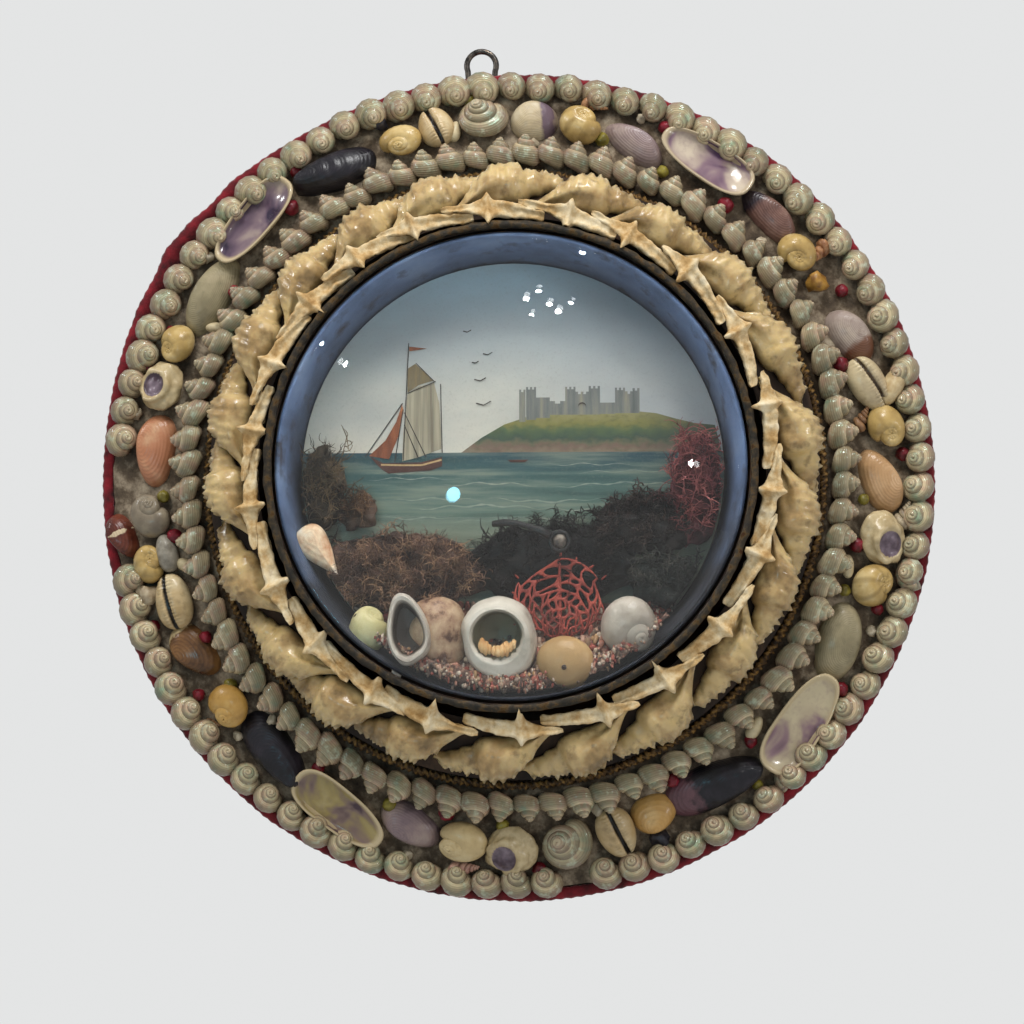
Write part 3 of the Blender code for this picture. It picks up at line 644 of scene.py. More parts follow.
def addLining():
    material, tree, shader = newMaterial("bluePaper", 0.85)
    body = rampOf(tree, noiseOf(tree, 45, 5), [(0.3, "465774"), (0.5, "61769a"), (0.7, "7d90ae")])
    stain = levelOf(tree, noiseOf(tree, 120, 5), 0.55, 0.75)
    body = mixOf(tree, stain, body, "3a3a42")
    height = axesOf(tree)["Z"]
    ragged = lining["shadeRagged"]
    # painted shade: the lining darkens toward the bottom of the picture, to near-black at its foot
    paintedShade = mathOf(tree, "ADD", height, levelOf(tree, noiseOf(tree, 40, 4), 0.3, 0.7, -ragged, ragged))
    paintedShade = levelOf(tree, paintedShade, lining["shadeFoot"], lining["shadeTop"], 0.93, 0.0)
    colourFrom(tree, shader, mixOf(tree, paintedShade, body, "1c1917"))
    bumpOn(tree, shader, noiseOf(tree, 700, 4), 0.0002, 0.5)
    wall = lining["wall"]
    mouth = ringOf("blue_lining")[1] - 1 * mm
    profile = [
        (mouth, liningFront), (mouth + wall, liningFront), (liningFoot + wall, liningBack),
        (liningFoot, liningBack),
    ]
    form = turned(profile, 144)
    finishPiece("blueLining", form, material, ["blue_lining"])


def capProfile(base, rise, foot, rings):
    ball = (base * base + rise * rise) / (2 * rise)
    reach = math.asin(base / ball)
    angles = [reach * i / rings for i in range(rings + 1)]
    return [(ball * math.sin(angle), foot + rise - ball * (1 - math.cos(angle))) for angle in angles]


glass = {"wall": 2 * mm, "rings": 24, "steps": 160}


def addGlass():
    wall = glass["wall"]
    rise = glassFront - glassBack
    outside = capProfile(glassRadius, rise, glassBack, glass["rings"])
    inside = capProfile(glassRadius - wall, rise - wall, glassBack, glass["rings"])
    material, _, shader = newMaterial("clearGlass", 0.0, {"IOR": 1.45, "Transmission Weight": 1.0})
    shader.inputs["Base Color"].default_value = (1.0, 1.0, 1.0, 1.0)
    form = turned(outside + inside[::-1], glass["steps"])
    piece = finishPiece("glassDome", form, material, ["glass_dome"])
    piece.visible_shadow = False


bezel = {"steps": 300, "lumps": 3 * mm, "lumpReach": 0.5 * mm}


def addBezel():
    # torn gilt paper pasted round the edge of the glass
    material, tree, shader = newMaterial("giltPaper", 0.55)
    spots = noiseOf(tree, 330, 5, 0.65)
    body = rampOf(tree, spots, [(0.35, "14110c"), (0.5, "2f2617"), (0.6, "5c4626"), (0.72, "43241a")])
    colourFrom(tree, shader, body)
    gold = levelOf(tree, spots, 0.56, 0.62, 0.0, 0.7)
    tree.links.new(gold, shader.inputs["Metallic"])
    bumpOn(tree, shader, noiseOf(tree, 800, 5, 0.7), 0.0005, 0.8)
    profile = [
        (bezelOuter, bezelBack),
        (bezelOuter, bezelBack + 0.8 * mm),
        (bezelOuter - 0.8 * mm, bezelFront),
        (bezelInner + 0.3 * mm, bezelFront),
        (bezelInner, bezelBack + 0.6 * mm),
        (bezelInner, bezelBack),
    ]
    form = turned(profile, bezel["steps"])
    ruffle(form, bezel["lumps"], bezel["lumpReach"])
    finishPiece("giltEdge", form, material, ["gilt_bezel"])


# Shells that coil: a ring of points is extruded, turned and shrunk toward the apex over and over

def growWhorls(shape):
    form = bmesh.new()
    across = form.verts.layers.float.new("across")
    along = form.verts.layers.float.new("along")
    sides, steps, turns = shape["sides"], shape["steps"], shape["turns"]
    mouth = bmesh.ops.create_circle(form, segments=sides, radius=shape["plump"])["verts"]
    for index, vert in enumerate(mouth):
        vert[across] = index / sides
        vert[along] = turns
        vert.co = Vector((-vert.co.y, 0.0, vert.co.x * shape.get("tall", 1.0)))
    bmesh.ops.translate(form, vec=(1.0, 0.0, -shape["drop"]), verts=mouth)
    shrink = shape["growth"] ** (-1 / steps)
    advance = Matrix.Rotation(-2 * math.pi / steps, 4, "Z") @ Matrix.Scale(shrink, 4)
    firstMouth = list(form.edges)
    rings, edges = [mouth], firstMouth
    for step in range(int(steps * turns)):
        made = bmesh.ops.extrude_edge_only(form, edges=edges)["geom"]
        ring = [part for part in made if isinstance(part, bmesh.types.BMVert)]
        inRing = set(ring)
        edges = [edge for edge in made if isinstance(edge, bmesh.types.BMEdge) and set(edge.verts) <= inRing]
        bmesh.ops.transform(form, matrix=advance, verts=ring)
        for vert in ring:
            vert[along] = turns - (step + 1) / steps
        rings.append(ring)
    for ring, share in zip(rings, shape.get("closing", ())):
        centre = sum((vert.co for vert in ring), Vector()) / sides
        for vert in ring:
            vert.co = centre + (vert.co - centre) * share
    last = rings[-1]
    bmesh.ops.pointmerge(form, verts=last, merge_co=sum((vert.co for vert in last), Vector()) / sides)
    bmesh.ops.contextual_create(form, geom=firstMouth)
    return form


def fitForm(form, length, width, height):
    # scales a form to its real size, centred, with its foot at z = 0
    low = [min(vert.co[i] for vert in form.verts) for i in range(3)]
    high = [max(vert.co[i] for vert in form.verts) for i in range(3)]
    middle = Vector(((low[0] + high[0]) / 2, (low[1] + high[1]) / 2, low[2]))
    bmesh.ops.translate(form, vec=-middle, verts=form.verts)
    size = [high[i] - low[i] for i in range(3)]
    bmesh.ops.scale(form, vec=(length / size[0], width / size[1], height / size[2]), verts=form.verts)
    return form


whorlKinds = {
    # ring points, rings a turn, turns, growth a turn, the tube's half width and its height against that,
    # how far the mouth lies below the apex, and how the last rings close in
    "topShell": {
        "sides": 10, "steps": 14, "turns": 3.5, "growth": 1.74, "plump": 0.99, "tall": 0.76, "drop": 1.72,
        "closing": (0.50, 0.74, 0.90),
    },
    "periwinkle": {
        "sides": 18, "steps": 26, "turns": 3.4, "growth": 1.95, "plump": 1.02, "tall": 0.96, "drop": 0.85,
        "closing": (0.45, 0.58, 0.69, 0.78, 0.86, 0.92, 0.96, 0.99),
    },
    "snail": {
        "sides": 18, "steps": 24, "turns": 3.4, "growth": 2.0, "plump": 0.98, "tall": 0.88, "drop": 1.25,
        "closing": (0.50, 0.70, 0.84, 0.93),
    },
    "pearl": {
        "sides": 18, "steps": 28, "turns": 4.6, "growth": 1.55, "plump": 0.97, "tall": 0.66, "drop": 1.9,
        "closing": (0.55, 0.80, 0.94),
    },
    "turret": {
        "sides": 9, "steps": 10, "turns": 6.0, "growth": 1.38, "plump": 0.95, "tall": 0.8, "drop": 4.6
    },
}

rows = {
    "outerShells": {
        "node": "outer_shell_row", "radius": outerRow, "start": 273.6, "span": 343.6, "pitch": 9.58 * mm,
        "size": (11.0 * mm, 11.0 * mm, 10.8 * mm), "tilt": 46, "bare": [(168.0, 171.8)], "mouths": (104, 136),
    },
    "innerShells": {
        "node": "inner_shell_row", "radius": innerRow, "start": 0.0, "span": 360.0, "pitch": 8.37 * mm,
        "size": (10.1 * mm, 10.1 * mm, 10.6 * mm), "tilt": -58, "bare": [], "mouths": (),
    },
}
# The outer row stands in a little where the cloth has slipped
rowStepIn = {"clock": 304.0, "width": 20.0, "reach": 0.9 * mm}


def addRows(material):
    for name, row in rows.items():
        mesh = template(fitForm(growWhorls(whorlKinds["topShell"]), *row["size"]))
        count = round(math.radians(row["span"]) * row["radius"] / row["pitch"])
        form = bmesh.new()
        for i in range(count):
            clock = (row["start"] + row["span"] * (i + 0.5) / count) % 360
            if any(low < clock < high for low, high in row["bare"]):
                continue
            tilt = row["tilt"] + dice.uniform(-8, 8)
            mouth = (180 if tilt > 0 else 0) + dice.uniform(-30, 30)
            if any(abs(clock - spot) < 2 for spot in row["mouths"]):
                mouth += 150
            size = dice.uniform(0.9, 1.05)
            seat = bedFront(row["radius"]) - 0.6 * mm
            radius = row["radius"] + dice.uniform(-0.5, 0.5) * mm
            if name == "outerShells":
                radius -= rowStepIn["reach"] * bell(clock, rowStepIn["clock"], rowStepIn["width"]) + 0.4 * mm
            place = clockPlace(clock, radius, seat, bedLean)
            lift = Matrix.Translation((0, 0, 0.42 * row["size"][2]))
            lean = Matrix.Rotation(math.radians(tilt), 4, "X")
            lean = lean @ Matrix.Rotation(math.radians(dice.uniform(-8, 8)), 4, "Y")
            drop = Matrix.Translation((0, 0, -0.42 * row["size"][2]))
            spin = Matrix.Rotation(math.radians(mouth + 60), 4, "Z")
            stamp(form, mesh, place @ lift @ lean @ drop @ spin @ Matrix.Scale(size, 4))
        finishPiece(name, form, material, [row["node"]], outward=False)


# Spiny shells on the drum, each with a canal that runs counter-clockwise to its tip

spiny = {
    "tips": [
        3, 19, 36, 52, 71, 87, 102, 118, 136, 153, 170, 188, 204, 218, 235, 253, 268, 284.5, 300, 316,
        331, 346,
    ],
    "length": 26.0,
    "tipRadius": 83.0 * mm,
    "bodyRadius": 91.4 * mm,
    "spireRadius": 94.4 * mm,
    "girth": 7.2 * mm,
    "knobs": (0.27, 0.34, 0.41, 0.48, 0.55, 0.62, 0.68, 0.745, 0.80, 0.86, 0.91),
    "knobReach": 2.1 * mm,
    "secondReach": 1.3 * mm,
    "whorls": (0.66, 0.77, 0.86, 0.93),
    "barStart": 84.2 * mm,
    "barEnd": 80.0 * mm,
    "barLength": 23.0,
    "flare": 0.44,
}


def spinyGirth(v):
    # v runs from the canal's tip at 0 to the spire's tip at 1, where the whorls step down
    canal = 0.17 + 0.09 * eased(v, 0.0, 0.25)
    body = 0.76 * eased(v, 0.12, 0.46) * (1 - 0.30 * eased(v, 0.58, 0.70))
    for whorl in spiny["whorls"]:
        body *= 1 - 0.26 * eased(v, whorl, whorl + 0.022) + 0.05 * bell(v, whorl - 0.02, 0.02)
    ends = min(1.0, 0.15 + (1 - v) / 0.05, 0.4 + v / 0.04)
    return (canal * (1 - 0.5 * eased(v, 0.6, 1.0)) + body) * ends


def spinyBody(tip, lot):
    size = lot.uniform(0.94, 1.06)
    sway = lot.uniform(-0.7, 0.7) * mm
    seed = lot.uniform(0, 90)
    shift = lot.uniform(-0.02, 0.02)
    powers = [lot.uniform(0.55, 1.25) for _ in spiny["knobs"]]

    def place(u, v):
        clock = tip + spiny["length"] * v - 0.6
        angle = 2 * math.pi * u
        outward, up = math.cos(angle), math.sin(angle)
        turned = angle if angle < 3.5 else angle - 2 * math.pi
        twisted = min(1.0, max(0.0, v + 0.035 * math.sin(angle + 0.8)))
        radius = spiny["tipRadius"] + (spiny["bodyRadius"] - spiny["tipRadius"] + sway) * eased(v, 0.0, 0.52)
        radius += (spiny["spireRadius"] - spiny["bodyRadius"]) * eased(v, 0.5, 1.0)
        girth = spiny["girth"] * spinyGirth(twisted) * size
        fading = 1 - 0.45 * eased(v, 0.6, 0.95)
        for knob, power in zip(spiny["knobs"], powers):
            crown = knob + shift
            first = spiny["knobReach"] * power * fading
            second = spiny["secondReach"] * power * fading
            girth += first * bell(v, crown, 0.017) * bell(turned, 0.20, 0.34)
            girth += second * bell(v, crown + 0.02, 0.017) * bell(turned, 0.95, 0.20)
            girth += 0.7 * second * bell(v, crown, 0.014) * bell(turned, 1.55, 0.16)
        girth -= 1.5 * mm * bell(turned, 2.7, 0.45) * bell(v, 0.36, 0.24)
        girth += 0.9 * mm * bell(turned, 2.05, 0.16) * bell(v, 0.30, 0.26)
        seat = drumFront(radius) + 0.45 * spiny["girth"] * spinyGirth(v) * size
        seat += 1.0 * mm - 1.6 * mm * eased(v, 0.7, 1.0)
        lean = math.atan(drumSlope) * 0.9
        tall = 0.80
        away = girth * (outward * math.cos(lean) + tall * up * math.sin(lean))
        front = girth * (tall * up * math.cos(lean) - outward * math.sin(lean))
        crest = bell(turned, 0.55, 0.75)
        crumple = noise.noise(Vector((u * 6, v * 15, seed))) * 0.55 * mm
        fine = noise.noise(Vector((u * 17, v * 42, seed))) * (0.15 + 0.65 * crest) * mm
        scales = max(0.0, noise.noise(Vector((u * 11, v * 27, seed + 9))))
        crumple += scales * 2.2 * mm * crest * eased(v, 0.15, 0.3)
        return onClock(clock, radius + away + 0.4 * crumple, seat + front + crumple + fine)

    return wrappedGrid(30, 84, place)


def spinyBar(tip, lot):
    # the cut inner lip: a ribbon that widens into a cross blade over the glass, then twists on as a plate
    size = lot.uniform(0.80, 1.15)
    flareAt = spiny["flare"] + lot.uniform(-0.09, 0.08)
    seed = lot.uniform(0, 90)
    lift = lot.uniform(-0.3, 0.9) * mm
    length = spiny["barLength"] * lot.uniform(0.93, 1.03)
    bow = lot.uniform(-0.2, 0.9) * mm
    plate = lot.uniform(2.3, 2.9) * mm

    def place(u, v):
        clock = tip + length * v - 1.2
        angle = 2 * math.pi * u
        inward, up = math.cos(angle), math.sin(angle)
        flare = bell(v, flareAt, 0.034)
        funnel = eased(v, flareAt - 0.34, flareAt) ** 1.8 * (1 - eased(v, flareAt, flareAt + 0.04))
        shaft = eased(v, flareAt, flareAt + 0.04) * (plate - 0.9 * mm * eased(v, flareAt + 0.1, 1.0))
        ends = min(1.0, 0.7 + (1 - v) / 0.08, 0.4 + v / 0.10)
        wide = (1.3 * mm * (1 - eased(v, flareAt, flareAt + 0.04)) + 1.9 * mm * funnel + shaft) * ends
        thick = (1.15 + 0.3 * flare + 0.35 * eased(v, flareAt, flareAt + 0.1)) * mm * ends
        twist = 0.45 * math.sin(5.0 * v + seed)
        side = inward * wide + 2.1 * mm * size * flare * inward
        hollow = bell(angle, math.pi / 2, 0.55)
        rise = thick * (up - 0.9 * hollow * (1 - 0.6 * flare))
        reach = side * math.cos(twist) - rise * math.sin(twist)
        reach += 1.4 * mm * flare * max(0.0, inward) * size
        middle = spiny["barStart"] + (spiny["barEnd"] - spiny["barStart"]) * v**0.8 + bow * math.sin(3.1 * v)
        front = drumCrest + 3.0 * mm + lift + 0.6 * mm * math.sin(5.0 * v)
        front += rise * math.cos(twist) + side * math.sin(twist) * 0.6
        front += 3.4 * mm * flare * max(0.0, inward) ** 1.3 * size + 1.0 * mm * flare
        crumple = noise.noise(Vector((u * 4, v * 12, seed))) * 0.7 * mm
        crumple += noise.noise(Vector((u * 9, v * 30, seed))) * 0.3 * mm
        radius = max(middle - reach + 0.5 * crumple, 74.6 * mm)
        if front < bezelFront + 0.6 * mm:
            radius = max(radius, bezelOuter + 0.35 * mm)
        return onClock(clock, radius, front + crumple)

    return wrappedGrid(20, 60, place)


def addSpinyRing():
    lot = random.Random(3)
    form = bmesh.new()
    bars = bmesh.new()
    for tip in spiny["tips"]:
        stamp(form, template(spinyBody(tip, lot)), Matrix.Identity(4), lot.random())
        stamp(bars, template(spinyBar(tip, lot)), Matrix.Identity(4), lot.random())
    material, tree, shader = newMaterial("spinyShell", 0.30, {"Coat Weight": 0.5, "Coat Roughness": 0.14})
    shader.inputs["Subsurface Weight"].default_value = 0.15
    shader.inputs["Subsurface Radius"].default_value = (0.004, 0.0025, 0.001)
    shader.inputs["Subsurface Scale"].default_value = 0.6
    body = rampOf(
        tree, noiseOf(tree, 90, 4),
        [(0.3, "7d6744"), (0.43, "a98c5e"), (0.55, "c6ad7c"), (0.66, "cdb27a"), (0.8, "a07c44")],
    )
    turn = mathOf(tree, "MULTIPLY", attributeOf(tree, "across"), 6.283)
    edge = levelOf(tree, mathOf(tree, "COSINE", turn), 0.2, 1.0)
    body = mixOf(tree, mathOf(tree, "MULTIPLY", edge, 0.45), body, "a0967e")
    # pale spots on the outer side of the knobs: partly worn shell, partly painted highlight
    crestsAndHighlights = mathOf(tree, "MULTIPLY", edge, levelOf(tree, noiseOf(tree, 420, 4), 0.5, 0.7))
    body = mixOf(tree, mathOf(tree, "MULTIPLY", crestsAndHighlights, 0.75), body, "ded4b6")
    grime = levelOf(tree, noiseOf(tree, 260, 5), 0.54, 0.70, 0.0, 0.55)
    body = mixOf(tree, grime, body, "5a4628")
    # painted shade: the back of each shell, where it lies on the drum, is darkened
    foot = levelOf(tree, mathOf(tree, "SINE", turn), -0.6, 0.2, 0.75, 0.0)
    body = mixOf(tree, foot, body, "4d3c24")
    colourFrom(tree, shader, body)
    bumpOn(tree, shader, noiseOf(tree, 260, 4), 0.0005, 0.5)
    bumpOn(tree, shader, noiseOf(tree, 1400, 3), 0.0001, 0.5)
    finishPiece("spinyShells", form, material, ["spiny_shell_ring"], outward=False)
    chalk, tree, shader = newMaterial("cutShellEdge", 0.7)
    body = rampOf(
        tree, noiseOf(tree, 150, 5, 0.65),
        [(0.3, "94713f"), (0.42, "bb9a68"), (0.54, "d3bd94"), (0.68, "e2d5b8"), (0.82, "b08a54")],
    )
    dents = levelOf(tree, noiseOf(tree, 330, 4), 0.54, 0.70, 0.0, 0.5)
    body = mixOf(tree, dents, body, "8a6a40")
    colourFrom(tree, shader, body)
    bumpOn(tree, shader, noiseOf(tree, 700, 5), 0.0004, 0.8)
    finishPiece("cutShellBars", bars, chalk, outward=False)


# Shells that don't coil

def valveForm(
    length, width, height, umbo=(0.0, 0.40), ribs=0.02, columns=40, rings=20, hollow=False, taper=0.0,
    ridges=0.0,
):
    # rings of growth from the umbo out to the edge; a hollow one shows its inner side
    foot = Vector((umbo[0] * length, umbo[1] * width, 0.0))

    def place(u, v):
        angle = 2 * math.pi * u
        across, up = math.cos(angle), math.sin(angle)
        square = 0.76 if hollow else 0.92
        edge = Vector((
            0.5 * length * math.copysign(abs(across) ** square, across),
            0.5 * width * math.copysign(abs(up) ** square, up),
            0.0,
        ))
        edge.y *= 1 + taper * math.cos(angle)
        spot = foot + (edge - foot) * v
        arch = max(0.0, 1 - v**2.4) ** 0.62
        spot.z = height * ((1 - 0.62 * arch) if hollow else arch)
        spot.z += ribs * height * math.sin(v * 26) * min(1.0, 2 * v) * (0.3 if hollow else 1.0)
        if ridges:
            spot.z += ridges * height * math.sin(spot.x / length * 44) * math.sin(math.pi * min(1.0, v + 0.1))
        return spot

    form = wrappedGrid(columns, rings, place)
    edges = [edge for edge in form.edges if edge.is_boundary and edge.calc_length() > 0.02 * mm]
    made = bmesh.ops.extrude_edge_only(form, edges=edges)["geom"]
    skirt = [part for part in made if isinstance(part, bmesh.types.BMVert)]
    if hollow:
        bmesh.ops.scale(form, vec=(1.05, 1.08, 1.0), verts=skirt)
        bmesh.ops.translate(form, vec=(0, 0, -0.3 * mm), verts=skirt)
        inSkirt = set(skirt)
        edges = [edge for edge in made if isinstance(edge, bmesh.types.BMEdge) and set(edge.verts) <= inSkirt]
        made = bmesh.ops.extrude_edge_only(form, edges=edges)["geom"]
        skirt = [part for part in made if isinstance(part, bmesh.types.BMVert)]
        bmesh.ops.scale(form, vec=(0.55, 0.6, 1.0), verts=skirt)
        bmesh.ops.translate(form, vec=(0, 0, -height - 1 * mm), verts=skirt)
    else:
        bmesh.ops.translate(form, vec=(0, 0, -1.5 * mm), verts=skirt)
    inSkirt = set(skirt)
    last = [edge for edge in made if isinstance(edge, bmesh.types.BMEdge) and set(edge.verts) <= inSkirt]
    bmesh.ops.contextual_create(form, geom=last)
    return form


def cowrieForm(length, width, height, slit=False, taper=0.12):
    def place(u, v):
        angle, polar = 2 * math.pi * u, math.pi * v
        x = -math.cos(polar)
        ringSize = math.sin(polar) ** 0.86
        y = ringSize * math.cos(angle) * (1 - taper * x)
        z = ringSize * math.sin(angle) * (1 - 0.5 * taper * x)
        spot = Vector((x * length / 2, y * width / 2, z * height * 0.62))
        if slit and z > 0:
            off = y - 0.10 - 0.10 * x
            cut = bell(off, 0.0, 0.10) * (1 - abs(x) ** 6)
            teeth = 0.5 + 0.5 * math.cos(2 * math.pi * x * 8)
            spot.z -= height * 0.34 * cut
            spot.z += height * (0.12 * teeth - 0.03) * bell(abs(off), 0.30, 0.20) * (1 - abs(x) ** 4)
        spot.z += height * 0.42
        return spot

    form = wrappedGrid(48, 56 if slit else 30, place)
    opening = form.verts.layers.float.new("opening")
    for vert in form.verts:
        across = vert.co.y / (width / 2)
        off = across - 0.10 - 0.10 * vert.co.x / (length / 2)
        vert[opening] = bell(off, 0.0, 0.13) if slit and vert.co.z > height * 0.45 else 0.0
    return form


def neriteForm(length, width, height, mouth, seed):
    # a lumpy dome with a smooth oval mouth, whose middle is given as shares of the half size
    def place(u, v):
        angle, polar = 2 * math.pi * u, math.pi * v
        spot = Vector(
            (math.sin(polar) * math.cos(angle), math.sin(polar) * math.sin(angle), -math.cos(polar))
        )
        lumps = 1 + 0.16 * noise.noise(spot * 1.7 + Vector((seed, 0, 0)))
        lumps += 0.07 * noise.noise(spot * 4.2 + Vector((0, seed, 0)))
        away = Vector(((spot.x - mouth[0]) / 0.52, (spot.y - mouth[1]) / 0.66)).length
        lip = bell(away, 1.12, 0.22) if spot.z > 0 else 0.0
        dip = 0.15 * (1 - eased(away, 0.70, 1.0)) if spot.z > 0 else 0.0
        lumps += 0.10 * lip
        return Vector((
            spot.x * length / 2 * lumps,
            spot.y * width / 2 * lumps,
            height * (0.42 + 0.58 * spot.z * lumps - dip),
        ))

    form = wrappedGrid(56, 40, place)
    opening = form.verts.layers.float.new("opening")
    for vert in form.verts:
        spot = Vector((vert.co.x / (length / 2), vert.co.y / (width / 2)))
        away = Vector(((spot.x - mouth[0]) / 0.52, (spot.y - mouth[1]) / 0.66)).length
        vert[opening] = (1 - eased(away, 0.80, 0.98)) if vert.co.z > height * 0.4 else 0.0
    return form


def coiledForm(kind, length, width, height, tilt=50, turn=0, mouth=230):
    # the mouth lies underneath, and the apex leans over toward the turn
    form = fitForm(growWhorls(whorlKinds[kind]), 1, 1, 1)
    bmesh.ops.translate(form, vec=(0, 0, -0.4), verts=form.verts)
    spin = Matrix.Rotation(math.radians(mouth), 4, "Z")
    lean = Matrix.Rotation(math.radians(tilt), 4, "X")
    swing = Matrix.Rotation(math.radians(turn), 4, "Z")
    bmesh.ops.transform(form, matrix=swing @ lean @ spin, verts=form.verts)
    return fitForm(form, length, width, height)


# Band shells: kind, finish, length and width in mm, turn and the way it leans, in the order of the clock
bandShells = {
    "clam_purple_patch": ("valve", "clam", 16.5, 13.6, 10, 0),
    "yellow_periwinkle_n": ("periwinkle", "ochre", 14.6, 12.4, -10, 160),
    "purple_bean_n": ("bean", "mauve", 22.9, 10.2, -18, 0),
    "open_wedge_ne": ("wedge", "neNacre", 33.0, 13.6, -3, 0),
    "brown_mussel_ne": ("bean", "brownMussel", 24.0, 10.2, -4, 0),
    "yellow_periwinkle_ne": ("periwinkle", "ochre", 14.0, 12.2, 0, 30),
    "brown_clam_ne": ("valve", "brownClam", 20.6, 12.2, 16, 0),
    "toothed_cowrie_e": ("slit", "toothed", 19.2, 12.0, 16, 0),
    "yellow_periwinkle_e": ("periwinkle", "ochre", 14.4, 12.0, 0, 80),
    "orange_tellin_e": ("bean", "tanTellin", 22.6, 12.2, 26, 0),
    "cream_cowrie_e": ("nerite", "violetMouth", 17.9, 13.7, 22, 0),
    "yellow_periwinkle_se": ("periwinkle", "ochre", 14.0, 12.5, 0, 200),
    "grey_valve_se": ("valve", "grey", 26.3, 14.4, 14, 0),
    "open_wedge_se": ("wedge", "seNacre", 34.8, 14.6, 7, 0),
    "black_mussel_se": ("mussel", "blackMauve", 33.8, 14.6, -9, 0),
    "cream_bean_s": ("bean", "creamBean", 15.4, 12.2, 0, 300),
    "slit_cowrie_s": ("slit", "slit", 16.8, 12.4, 97, 0),
    "pearly_top_s": ("pearl", "pearly", 16.5, 15.8, 0, 40),
    "purple_cowrie_s": ("nerite", "violetMouth", 16.7, 15.0, 0, 0),
    "cream_snail_s": ("snail", "creamSnail", 16.0, 12.8, 0, 120),
    "purple_valve_sw": ("bean", "mauve", 21.8, 12.0, -18, 0),
    "open_wedge_sw": ("wedge", "swNacre", 33.1, 13.6, -10, 0),
    "black_mussel_sw": ("mussel", "black", 29.6, 13.8, -9, 0),
    "orange_snail_sw": ("snail", "orangeSnail", 14.6, 12.8, 0, 210),
    "amber_clam_w": ("bean", "amber", 21.0, 12.6, 17, 0),
    "slit_cowrie_w": ("slit", "slit", 18.6, 12.4, -8, 0),
    "yellow_periwinkle_w": ("periwinkle", "ochre", 12.6, 10.4, 0, 10),
    "brown_tellin_w": ("bean", "brownTellin", 16.3, 8.6, 20, 0),
    "banded_snail_w": ("snail", "banded", 14.6, 13.1, 0, 60),
    "orange_tellin_w": ("bean", "orangeTellin", 24.6, 13.0, 0, 0),
    "purple_cowrie_w": ("nerite", "violetMouth", 17.0, 13.6, 0, 0),
    "yellow_periwinkle_nw": ("periwinkle", "ochre", 13.4, 11.8, 0, 240),
    "grey_valve_nw": ("valve", "grey", 29.6, 13.0, 4, 0),
    "open_wedge_nw": ("wedge", "nwNacre", 34.0, 13.4, 7, 0),
    "black_mussel_nw": ("mussel", "black", 30.0, 13.2, -7, 0),
    "yellow_snail_n": ("snail", "ochre", 14.5, 11.6, 0, 330),
    "slit_cowrie_n": ("slit", "slit", 14.2, 12.0, 100, 0),
    "pearly_top_n": ("pearl", "pearly", 17.0, 14.6, 0, 200),
}
bandHeights = {
    "valve": 6.6, "bean": 6.2, "wedge": 5.6, "mussel": 7.6, "periwinkle": 9.0, "snail": 8.4, "pearl": 9.6,
    "nerite": 8.8, "slit": 7.8,
}
coilTilts = {"periwinkle": 26, "snail": 34, "pearl": 22}
# Where the oval mouth of each nerite lies, across and up, as shares of its half size
neriteMouths = {
    "purple_cowrie_w": (-0.05, 0.22), "purple_cowrie_s": (0.30, 0.26), "cream_cowrie_e": (0.30, 0.16)
}


def bandForm(node, kind, length, width, turn):
    height = bandHeights[kind] * mm
    length, width = length * mm, width * mm
    if kind == "valve":
        return valveForm(length, width, height, (-0.05, 0.30), 0.008)
    if kind == "bean":
        return valveForm(length, width, height, (0.10, 0.36), 0.006, taper=0.1)
    if kind == "mussel":
        return valveForm(
            length, width, height, (-0.42, 0.05), 0.01, columns=72, rings=32, taper=0.22, ridges=0.02
        )
    if kind == "wedge":
        return valveForm(length, width, height, (0.12, 0.44), 0.01, hollow=True, taper=0.15)
    if kind == "nerite":
        return neriteForm(length, width, height, neriteMouths[node], len(node) + length / mm)
    if kind == "slit":
        return cowrieForm(length, width, height, True)
    return coiledForm(kind, length, width, height, coilTilts[kind], turn)


def addBand(materials):
    for node, (kind, finish, length, width, turn, coil) in bandShells.items():
        clock, radius = clockOf(centreOf(node))
        form = bandForm(node, kind, length, width, coil)
        lengthwise = form.verts.layers.float.new("lengthwise")
        for vert in form.verts:
            vert[lengthwise] = vert.co.x / (length * mm / 2)
        seat = bedFront(radius) + (0.8 if kind == "wedge" else -0.4) * mm
        bmesh.ops.transform(form, matrix=clockPlace(clock, radius, seat, bedLean, turn), verts=form.verts)
        parts = node.split("_")
        name = parts[0] + "".join(part.capitalize() for part in parts[1:])
        finishPiece(name, form, materials[finish], [node])
    stageNote("band shells")


# The painted card: sky and sea by nodes, with the land, ruin, boat and birds as flat layers of paint.
# Every outline is in millimetres on the card, across and up.

